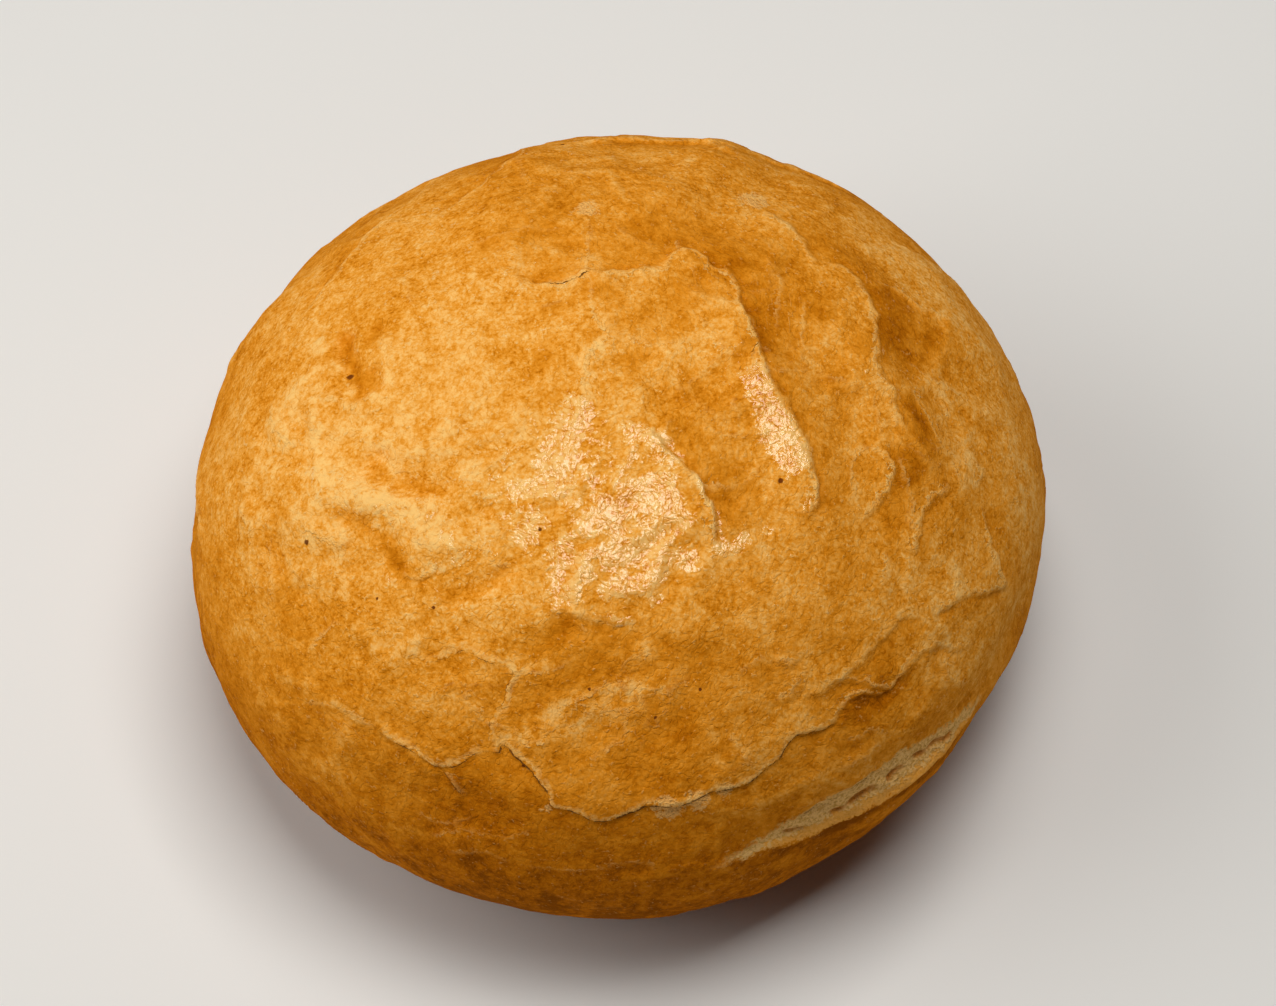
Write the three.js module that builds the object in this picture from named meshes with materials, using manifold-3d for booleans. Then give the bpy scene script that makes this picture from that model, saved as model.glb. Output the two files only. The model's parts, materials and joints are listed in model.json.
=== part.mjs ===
// A round crusty bread roll, whole and uncut: one solid of baked dough with a browned, folded skin.
// Millimetres, +Z up. The roll rests on its flat underside at z = 0, centred over the origin.
import * as THREE from "three";
import { mergeVertices } from "three/addons/utils/BufferGeometryUtils.js";
import Module from "manifold-3d";

const wasm = await Module();
wasm.setup();

// ---- Driving dimensions of the risen dough ----
const HALF_WIDTH = 47.0; // along X, before the lobes
const HALF_DEPTH = 46.2; // along Y, before the lobes
const HEIGHT = 56.0; // from the tray to the crown
const GIRTH_HEIGHT = 22.0; // height of the widest part, where the core of the dough sits
const TUCK_DEPTH = 28.5; // how far the tucked-under side would reach below the girth without a tray
const DOME_POWER = 2.12; // 2 is an ellipsoid, more is fuller at the shoulder
const TUCK_POWER = 2.15;
const TRAY_GIVE = 0.4; // the dough is blended to a plane this far below the tray, then cut flat
const TRAY_EDGE = 2.5; // how far the blend between side and underside reaches
const FACES_PER_EDGE = 22; // each of the 20 first triangles is split into this many strips

// Relief fades out between these heights, so that the underside stays flat
const RELIEF_STARTS = 1.5;
const RELIEF_FULL = 9.0;

const CRUST_COLOUR = 0xd9963f;
const CRUST_ROUGHNESS = 0.45;

// Broad unevenness of the dough: [bearing, rise, spread in degrees, lift in mm]. Bearing is the
// compass angle from +X towards +Y and rise is the angle above level, both seen from the core.
const LOBES = [
  [-38, -10, 28, -1.7],
  [60, 20, 24, 0.2],
  [15, 0, 18, 0.7],
  [-85, -20, 24, -0.4],
  [168, 5, 22, 0.3],
  [128, 24, 13, -0.8],
  [-28, -10, 9, -0.6],
  [-152, -8, 28, 0.8],
];

// Folds of the skin. route: [bearing, rise] points. crest: mm raised on the route, over width mm.
// sink: mm lowered beside it, at offset mm to the left (seen from outside, walking the route) over
// spread mm; a negative offset puts the hollow on the right.
const FOLDS = [
  {
    name: "crown seam",
    route: [[98, 55], [104, 68], [128, 82], [-128, 84], [-108, 68]],
    crest: 0.3, width: 3.2, sink: 0, offset: 5, spread: 4,
  },
  {
    name: "top crease",
    route: [[133, 63], [125, 71], [94, 72], [69, 67], [52, 60], [34, 62]],
    crest: 0.4, width: 3.0, sink: 0.3, offset: 4.5, spread: 4,
  },
  {
    name: "long pleat",
    route: [[34, 62], [14, 67], [-6, 64], [-23, 56], [-36, 50], [-45, 47]],
    crest: 0.8, width: 3.2, sink: 0.5, offset: 5, spread: 4,
  },
  {
    name: "inner pleat",
    route: [[-83, 79], [-67, 74], [-59, 63], [-63, 52]],
    crest: 0.55, width: 3.2, sink: 0.55, offset: 5.5, spread: 4.5,
  },
  {
    name: "shoulder pleat",
    route: [[46, 46], [28, 43], [4, 46], [-6, 41], [-18, 42], [-31, 42]],
    crest: 0.8, width: 3.2, sink: 0.5, offset: 5, spread: 4,
  },
  {
    name: "far pleat",
    route: [[25, 43], [18, 33], [14, 24], [10, 20]],
    crest: 0.6, width: 3.2, sink: 0.6, offset: -5.5, spread: 5,
  },
  {
    name: "side pleat",
    route: [[-3, 42], [-10, 34], [-14, 31], [-24, 34], [-31, 36]],
    crest: 0.5, width: 2.8, sink: 0.35, offset: 4.5, spread: 4,
  },
  {
    name: "lower side pleat",
    route: [[-14, 24], [-21, 17], [-31, 24], [-37, 24]],
    crest: 0.5, width: 2.8, sink: 0.35, offset: 4.5, spread: 4,
  },
  {
    name: "left dent",
    route: [[164, 38], [175, 44], [-179, 43]],
    crest: -0.5, width: 3.0, sink: -0.35, offset: 5, spread: 3.5,
  },
  {
    name: "left swell",
    route: [[-174, 29], [-157, 38], [-140, 45], [-133, 48]],
    crest: 0.5, width: 3.2, sink: 0.4, offset: 5, spread: 4,
  },
  {
    name: "left hollow",
    route: [[-151, 37], [-144, 39], [-137, 41]],
    crest: -0.45, width: 3.5, sink: 0, offset: 5, spread: 4,
  },
  {
    name: "front brow",
    route: [[-118, 41], [-106, 44], [-85, 45], [-66, 40]],
    crest: 0.6, width: 5.0, sink: 0.35, offset: -8, spread: 6,
  },
  {
    name: "front plate edge",
    route: [[-110, 25], [-98, 19], [-80, 20], [-63, 24], [-54, 23]],
    crest: 0.45, width: 3.2, sink: 0.55, offset: -4.5, spread: 4,
  },
  {
    name: "left plate edge",
    route: [[-126, 21], [-117, 20], [-110, 25]],
    crest: 0.35, width: 3.0, sink: 0.4, offset: -4.5, spread: 4,
  },
  {
    name: "back pleat",
    route: [[150, 60], [128, 52], [112, 40], [104, 26]],
    crest: 0.6, width: 3.4, sink: 0.5, offset: 5, spread: 4.5,
  },
  {
    name: "back shoulder pleat",
    route: [[84, 60], [76, 48], [70, 36], [72, 24], [66, 14]],
    crest: 0.7, width: 3.4, sink: 0.5, offset: -5, spread: 4.5,
  },
  {
    name: "back brow",
    route: [[100, 34], [88, 30], [72, 31], [56, 27], [44, 22]],
    crest: 0.5, width: 4.5, sink: 0.35, offset: -7, spread: 5,
  },
  {
    name: "back plate edge",
    route: [[152, 16], [136, 11], [118, 14], [98, 9], [80, 12]],
    crest: 0.45, width: 3.4, sink: 0.45, offset: -5, spread: 4,
  },
  {
    name: "left side crease",
    route: [[-168, 14], [176, 9], [160, 14], [146, 24]],
    crest: 0.4, width: 3.4, sink: 0.35, offset: 5, spread: 4,
  },
];

// The burst seam low on one side, where the rising crumb tore the skin open. It thins out at both ends.
const TEAR = {
  route: [[-79, 10], [-66, 9.5], [-48, 9.5], [-35, 7], [-20, 6], [-6, 7.5]],
  depth: 0.9, // mm, at the middle of the seam
  width: 2.8, // mm, over which the seam's trough falls
  lip: 0.35, // mm that the torn edges stand proud
  lipOffset: 4.8, // mm from the middle of the trough to each lip
  lipWidth: 2.6,
  taper: 0.22, // share of the seam's length over which each end thins out
};

const ROUTE_STEPS = 8; // straight steps between two points of a route
const END_TAPER = 0.2; // share of a fold's length over which each end dies away

// ---- Directions from the core ----
function direction([bearing, rise]) {
  const b = THREE.MathUtils.degToRad(bearing);
  const r = THREE.MathUtils.degToRad(rise);
  return new THREE.Vector3(Math.cos(r) * Math.cos(b), Math.cos(r) * Math.sin(b), Math.sin(r));
}

// A smooth line over the unit sphere through the points of a route
function routeLine(route) {
  const curve = new THREE.CatmullRomCurve3(route.map(direction), false, "centripetal");
  return curve.getPoints(ROUTE_STEPS * (route.length - 1)).map((point) => point.normalize());
}

// Where a direction lies beside a line: side is the angle to it in radians, positive on the left,
// and along runs from 0 at the line's start to 1 at its end.
function placeBeside(line, aim) {
  let best = { side: Infinity, along: 0 };
  for (let i = 0; i < line.length - 1; i += 1) {
    const start = line[i];
    const leg = line[i + 1].clone().sub(start);
    const share = THREE.MathUtils.clamp(aim.clone().sub(start).dot(leg) / leg.lengthSq(), 0, 1);
    const nearest = start.clone().addScaledVector(leg, share);
    const apart = aim.distanceTo(nearest);
    if (apart < Math.abs(best.side)) {
      const left = start.clone().cross(leg).dot(aim) >= 0 ? 1 : -1;
      best = { side: left * apart, along: (i + share) / (line.length - 1) };
    }
  }
  return best;
}

const bell = (distance, width) => Math.exp(-((distance / width) ** 2));

function endFade(along, taper) {
  return THREE.MathUtils.smoothstep(Math.min(along, 1 - along), 0, taper);
}

// ---- The risen dough, without its folds ----
function doughRadius(aim) {
  const rising = aim.z > 0;
  const power = rising ? DOME_POWER : TUCK_POWER;
  const flat = Math.hypot(aim.x / HALF_WIDTH, aim.y / HALF_DEPTH);
  const tall = Math.abs(aim.z) / (rising ? HEIGHT - GIRTH_HEIGHT : TUCK_DEPTH);
  let radius = (flat ** power + tall ** power) ** (-1 / power);
  for (const [bearing, rise, spread, lift] of LOBES) {
    const apart = THREE.MathUtils.radToDeg(aim.angleTo(direction([bearing, rise])));
    radius += lift * bell(apart, spread);
  }
  return radius;
}

function foldLift(fold, aim, radius) {
  const place = placeBeside(fold.line, aim);
  const side = place.side * radius;
  const hollow = fold.sink * bell(side - fold.offset, fold.spread);
  return (fold.crest * bell(side, fold.width) - hollow) * endFade(place.along, END_TAPER);
}

function tearLift(line, aim, radius) {
  const place = placeBeside(line, aim);
  const side = Math.abs(place.side * radius);
  const trough = TEAR.depth * bell(side, TEAR.width);
  const lip = TEAR.lip * bell(side - TEAR.lipOffset, TEAR.lipWidth);
  return (lip - trough) * endFade(place.along, TEAR.taper);
}

// The tray stops the dough, with a soft edge round the underside
function restOnTray(radius, aim) {
  const toTray = (GIRTH_HEIGHT + TRAY_GIVE) / Math.max(-aim.z, 1e-6);
  const blend = Math.max(TRAY_EDGE - Math.abs(radius - toTray), 0) / TRAY_EDGE;
  return Math.min(radius, toTray) - (blend * blend * TRAY_EDGE) / 4;
}

function skinPoint(aim, folds, tearLine) {
  const radius = doughRadius(aim);
  const height = GIRTH_HEIGHT + radius * aim.z;
  const showing = THREE.MathUtils.smoothstep(height, RELIEF_STARTS, RELIEF_FULL);
  let lift = tearLift(tearLine, aim, radius);
  for (const fold of folds) {
    lift += foldLift(fold, aim, radius);
  }
  const reach = restOnTray(radius + lift * showing, aim);
  return aim.clone().multiplyScalar(reach).add(new THREE.Vector3(0, 0, GIRTH_HEIGHT));
}

// ---- Solids ----
function asSolid(geometry) {
  geometry.deleteAttribute("normal");
  geometry.deleteAttribute("uv");
  const merged = mergeVertices(geometry, 1e-5);
  const vertProperties = new Float32Array(merged.attributes.position.array);
  const triVerts = new Uint32Array(merged.index.array);
  return new wasm.Manifold(new wasm.Mesh({ numProp: 3, vertProperties, triVerts }));
}

function asGeometry(solid) {
  const mesh = solid.getMesh();
  const geometry = new THREE.BufferGeometry();
  geometry.setAttribute("position", new THREE.BufferAttribute(mesh.vertProperties, 3));
  geometry.setIndex(new THREE.BufferAttribute(mesh.triVerts, 1));
  geometry.computeVertexNormals();
  return geometry;
}

function doughSolid() {
  const folds = FOLDS.map((fold) => ({ ...fold, line: routeLine(fold.route) }));
  const tearLine = routeLine(TEAR.route);
  const ball = new THREE.IcosahedronGeometry(1, FACES_PER_EDGE - 1);
  const position = ball.attributes.position;
  const aim = new THREE.Vector3();
  for (let i = 0; i < position.count; i += 1) {
    aim.fromBufferAttribute(position, i).normalize();
    const point = skinPoint(aim, folds, tearLine);
    position.setXYZ(i, point.x, point.y, point.z);
  }
  return asSolid(ball);
}

// Everything above the tray
function spaceAboveTray() {
  const size = 4 * HALF_WIDTH;
  const box = new THREE.BoxGeometry(size, size, size);
  box.translate(0, 0, size / 2);
  return asSolid(box);
}

function makeRoll() {
  const geometry = asGeometry(doughSolid().intersect(spaceAboveTray()));
  geometry.computeBoundingBox();
  const middle = geometry.boundingBox.getCenter(new THREE.Vector3());
  geometry.translate(-middle.x, -middle.y, 0);
  const crust = new THREE.MeshStandardMaterial({
    color: CRUST_COLOUR,
    roughness: CRUST_ROUGHNESS,
    metalness: 0,
  });
  const roll = new THREE.Mesh(geometry, crust);
  roll.name = "roll";
  return roll;
}

const breadRoll = new THREE.Group();
breadRoll.add(makeRoll());

export default breadRoll;
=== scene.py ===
"""A round crusty bread roll: a golden, folded and cracked crust with a burst seam, on a plain pale floor."""

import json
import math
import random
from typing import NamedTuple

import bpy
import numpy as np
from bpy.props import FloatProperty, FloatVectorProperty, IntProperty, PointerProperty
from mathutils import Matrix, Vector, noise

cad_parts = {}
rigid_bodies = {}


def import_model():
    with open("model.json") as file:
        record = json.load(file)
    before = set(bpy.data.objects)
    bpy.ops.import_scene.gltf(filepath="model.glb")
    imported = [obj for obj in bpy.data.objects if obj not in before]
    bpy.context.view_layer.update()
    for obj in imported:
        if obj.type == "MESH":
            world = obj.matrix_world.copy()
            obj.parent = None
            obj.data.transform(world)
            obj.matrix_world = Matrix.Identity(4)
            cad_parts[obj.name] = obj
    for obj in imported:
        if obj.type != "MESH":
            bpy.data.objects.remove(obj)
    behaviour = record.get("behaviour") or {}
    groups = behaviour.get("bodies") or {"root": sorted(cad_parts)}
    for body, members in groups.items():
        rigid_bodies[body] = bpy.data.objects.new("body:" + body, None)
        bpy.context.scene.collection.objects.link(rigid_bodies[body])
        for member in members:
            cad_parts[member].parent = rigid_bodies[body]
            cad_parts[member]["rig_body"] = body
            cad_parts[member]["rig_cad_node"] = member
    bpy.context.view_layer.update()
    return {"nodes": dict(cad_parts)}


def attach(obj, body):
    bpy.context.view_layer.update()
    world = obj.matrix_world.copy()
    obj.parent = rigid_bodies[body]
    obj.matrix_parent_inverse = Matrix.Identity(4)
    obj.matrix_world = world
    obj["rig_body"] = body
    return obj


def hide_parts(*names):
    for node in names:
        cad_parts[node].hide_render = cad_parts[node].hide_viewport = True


bl_info = {
    "name": "Crusty Bread Roll",
    "version": (1, 0, 0),
    "blender": (4, 5, 0),
    "location": "View3D > Sidebar > Bread Roll",
    "description": "Models a round bread roll with a folded, cracked and torn golden crust",
    "category": "Add Mesh",
}

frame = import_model()

MM = 0.001
ROLL_NODE = "roll"
BODY = "root"


# ---------------------------------------------------------------------------------------------
# Sizes and colours that a user may change
# ---------------------------------------------------------------------------------------------


def length(name, description, size):
    """A length, given in mm."""
    return FloatProperty(name=name, description=description, default=size * MM, unit="LENGTH")


def spot(name, description, *mm):
    """A place, given in mm."""
    default = [value * MM for value in mm]
    return FloatVectorProperty(name=name, description=description, default=default, subtype="TRANSLATION")


def paint(name, description, *rgb):
    default = (*rgb, 1)
    return FloatVectorProperty(name=name, description=description, default=default, subtype="COLOR", size=4)


class BreadRollDough(bpy.types.PropertyGroup):
    """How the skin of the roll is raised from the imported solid."""

    core: spot("Core", "Point in the dough that every bearing and rise is measured from", 0.15, -0.1, 22)
    cells: IntProperty(name="Cells", description="Skin faces along one edge of the first cube", default=112)
    crowding: FloatProperty(
        name="Crowding", description="Face size at the crown against the girth", default=0.78
    )
    settle_passes: IntProperty(
        name="Settle passes", description="How often the skin is smoothed", default=44
    )
    free_from: length("Relief starts", "Height where folds begin", 1.5)
    free_above: length("Relief full", "Height where folds have their full size", 8)


class BreadRollRelief(bpy.types.PropertyGroup):
    """How deep the folds, plates and wrinkles are."""

    swell: length("Swell", "Soft rise and fall of the skin", 0.6)
    hummock: length("Hummock", "Height of low mounds", 0.7)
    dimple: length("Dimple", "Depth of small dimples", 0.5)
    crinkle: length("Crinkle", "Height of fine crinkles", 0.3)
    plate_crest: length("Plate crest", "Height of the creases between plates", 0.2)
    fold_strength: FloatProperty(name="Fold strength", description="Multiplies every fold", default=0.85)
    small_folds: IntProperty(name="Small folds", description="Number of short scattered folds", default=120)


class BreadRollColours(bpy.types.PropertyGroup):
    """Colours of the baked skin, from palest to darkest, of the milky veil on it, and of the crumb."""

    # Butter shows where pale haze and gloss make the tone palest: partly painted light on crests and painted
    # highlights.
    butter: paint("Butter", "Palest rims of the wrinkles", 1.0, 0.59, 0.18)
    cream: paint("Cream", "Palest skin", 0.96, 0.5, 0.125)
    straw: paint("Straw", "Lightly baked skin", 0.88, 0.375, 0.05)
    gold: paint("Gold", "Evenly baked skin", 0.78, 0.28, 0.017)
    amber: paint("Amber", "Well baked skin", 0.64, 0.205, 0.006)
    rust: paint("Rust", "Darker blotches", 0.49, 0.138, 0.002)
    chestnut: paint("Chestnut", "Darkest skin", 0.27, 0.07, 0.001)
    cleft: paint("Cleft", "Inside of cracks", 0.22, 0.08, 0.012)
    scorch: paint("Scorch", "Burnt specks", 0.12, 0.022, 0.005)
    veil: paint("Veil", "Milky film on the skin", 0.97, 0.6, 0.21)
    worn: paint("Worn", "Crests of creases", 0.95, 0.55, 0.165)
    crumb: paint("Crumb", "Torn crumb in the seam", 0.9, 0.53, 0.18)
    deep_crumb: paint("Deep crumb", "Hollows of the torn crumb", 0.62, 0.32, 0.07)


class BreadRollStudio(bpy.types.PropertyGroup):
    """Camera, lamps and floor."""

    aim: spot("Aim", "Point the camera looks at", 2.15, -0.1, 26.2)
    distance: length("Distance", "Camera to aim", 390.5)
    elevation: FloatProperty(
        name="Elevation",
        description="Camera's angle above level",
        default=math.radians(60),
        subtype="ANGLE",
    )
    lens: FloatProperty(name="Lens", description="Focal length in millimetres", default=100.0)
    lamp_size: length("Lamp size", "Side of the soft lamp overhead", 300)
    lamp_height: length("Lamp height", "Lamp above the floor", 580)
    lamp_right: length("Lamp right", "Lamp right of the roll", 50)
    lamp_back: length("Lamp back", "Lamp behind the roll", 30)
    lamp_power: FloatProperty(name="Lamp power", description="Watts", default=2.1)
    panel_size: length("Panel size", "Side of the soft panel on the left", 700)
    panel_distance: length("Panel distance", "Panel to roll", 800)
    panel_power: FloatProperty(name="Panel power", description="Watts", default=3.4)
    fill: FloatProperty(name="Fill", description="Strength of the even light all round", default=0.02)


# ---------------------------------------------------------------------------------------------
# The lines of the skin. A route is a list of (bearing, rise) in degrees, seen from the core:
# bearing from +X towards +Y, rise above level. Left and right are for someone walking the route
# on the outside of the roll.
# ---------------------------------------------------------------------------------------------


class Fold(NamedTuple):
    """A crease raised along a route, with a valley beside it. Sizes in millimetres."""

    route: list
    crest: float
    width: float
    valley: float
    side: int  # 1: the valley is on the left, -1: on the right, 0: on both sides
    pale: float  # how worn and pale the crest is; its pale haze is partly painted light on the raised side


class Crack(NamedTuple):
    """A thin break along a route. The plate on its left stands over the skin on its right."""

    route: list
    raise_left: float
    drop_right: float
    gap: float
    pale: float


class Patch(NamedTuple):
    """A soft-edged area, by its middle's bearing and rise, its spread in mm and how much it adds there."""

    bearing: float
    rise: float
    spread: float
    amount: float


class Stroke(NamedTuple):
    """A soft-edged band along a route, by its spread in mm to each side and how much it adds there."""

    route: list
    spread: float
    amount: float


def patches(*rows):
    return [Patch(*row) for row in rows]


def strokes(*rows):
    return [Stroke(*row) for row in rows]


# Small curls and hollows on the far left, which are folds and are also coloured
LEFT_CURL = [(164.5, 38), (168.5, 38.5), (171.5, 40), (174, 42.5), (175.5, 44)]
LOWER_CURL = [(171.5, 38.5), (174, 37.5), (176, 35.5), (178, 34.5), (-180, 34.5)]
UPPER_CURL = [(165.5, 50), (170, 50), (174, 50.5), (178.5, 51.5), (-177.5, 51.5)]
SHORT_CURL = [(-178.5, 38.5), (-175, 39), (-171.5, 38.5)]
STEEP_CURL = [(177, 44.5), (180, 45), (-179, 43.5), (-179.5, 40.5), (-179, 37.5), (-179, 35)]
LEFT_HOLLOW = [(163, 40.5), (167, 42), (171, 43.5), (175, 45), (178.5, 46), (-178.5, 46), (-177, 44)]
UPPER_HOLLOW = [(162.5, 47.5), (166.5, 47.5), (170.5, 46.5)]
SHORT_HOLLOW = [(175.5, 47), (179.5, 48.5), (-177, 49)]

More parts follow.
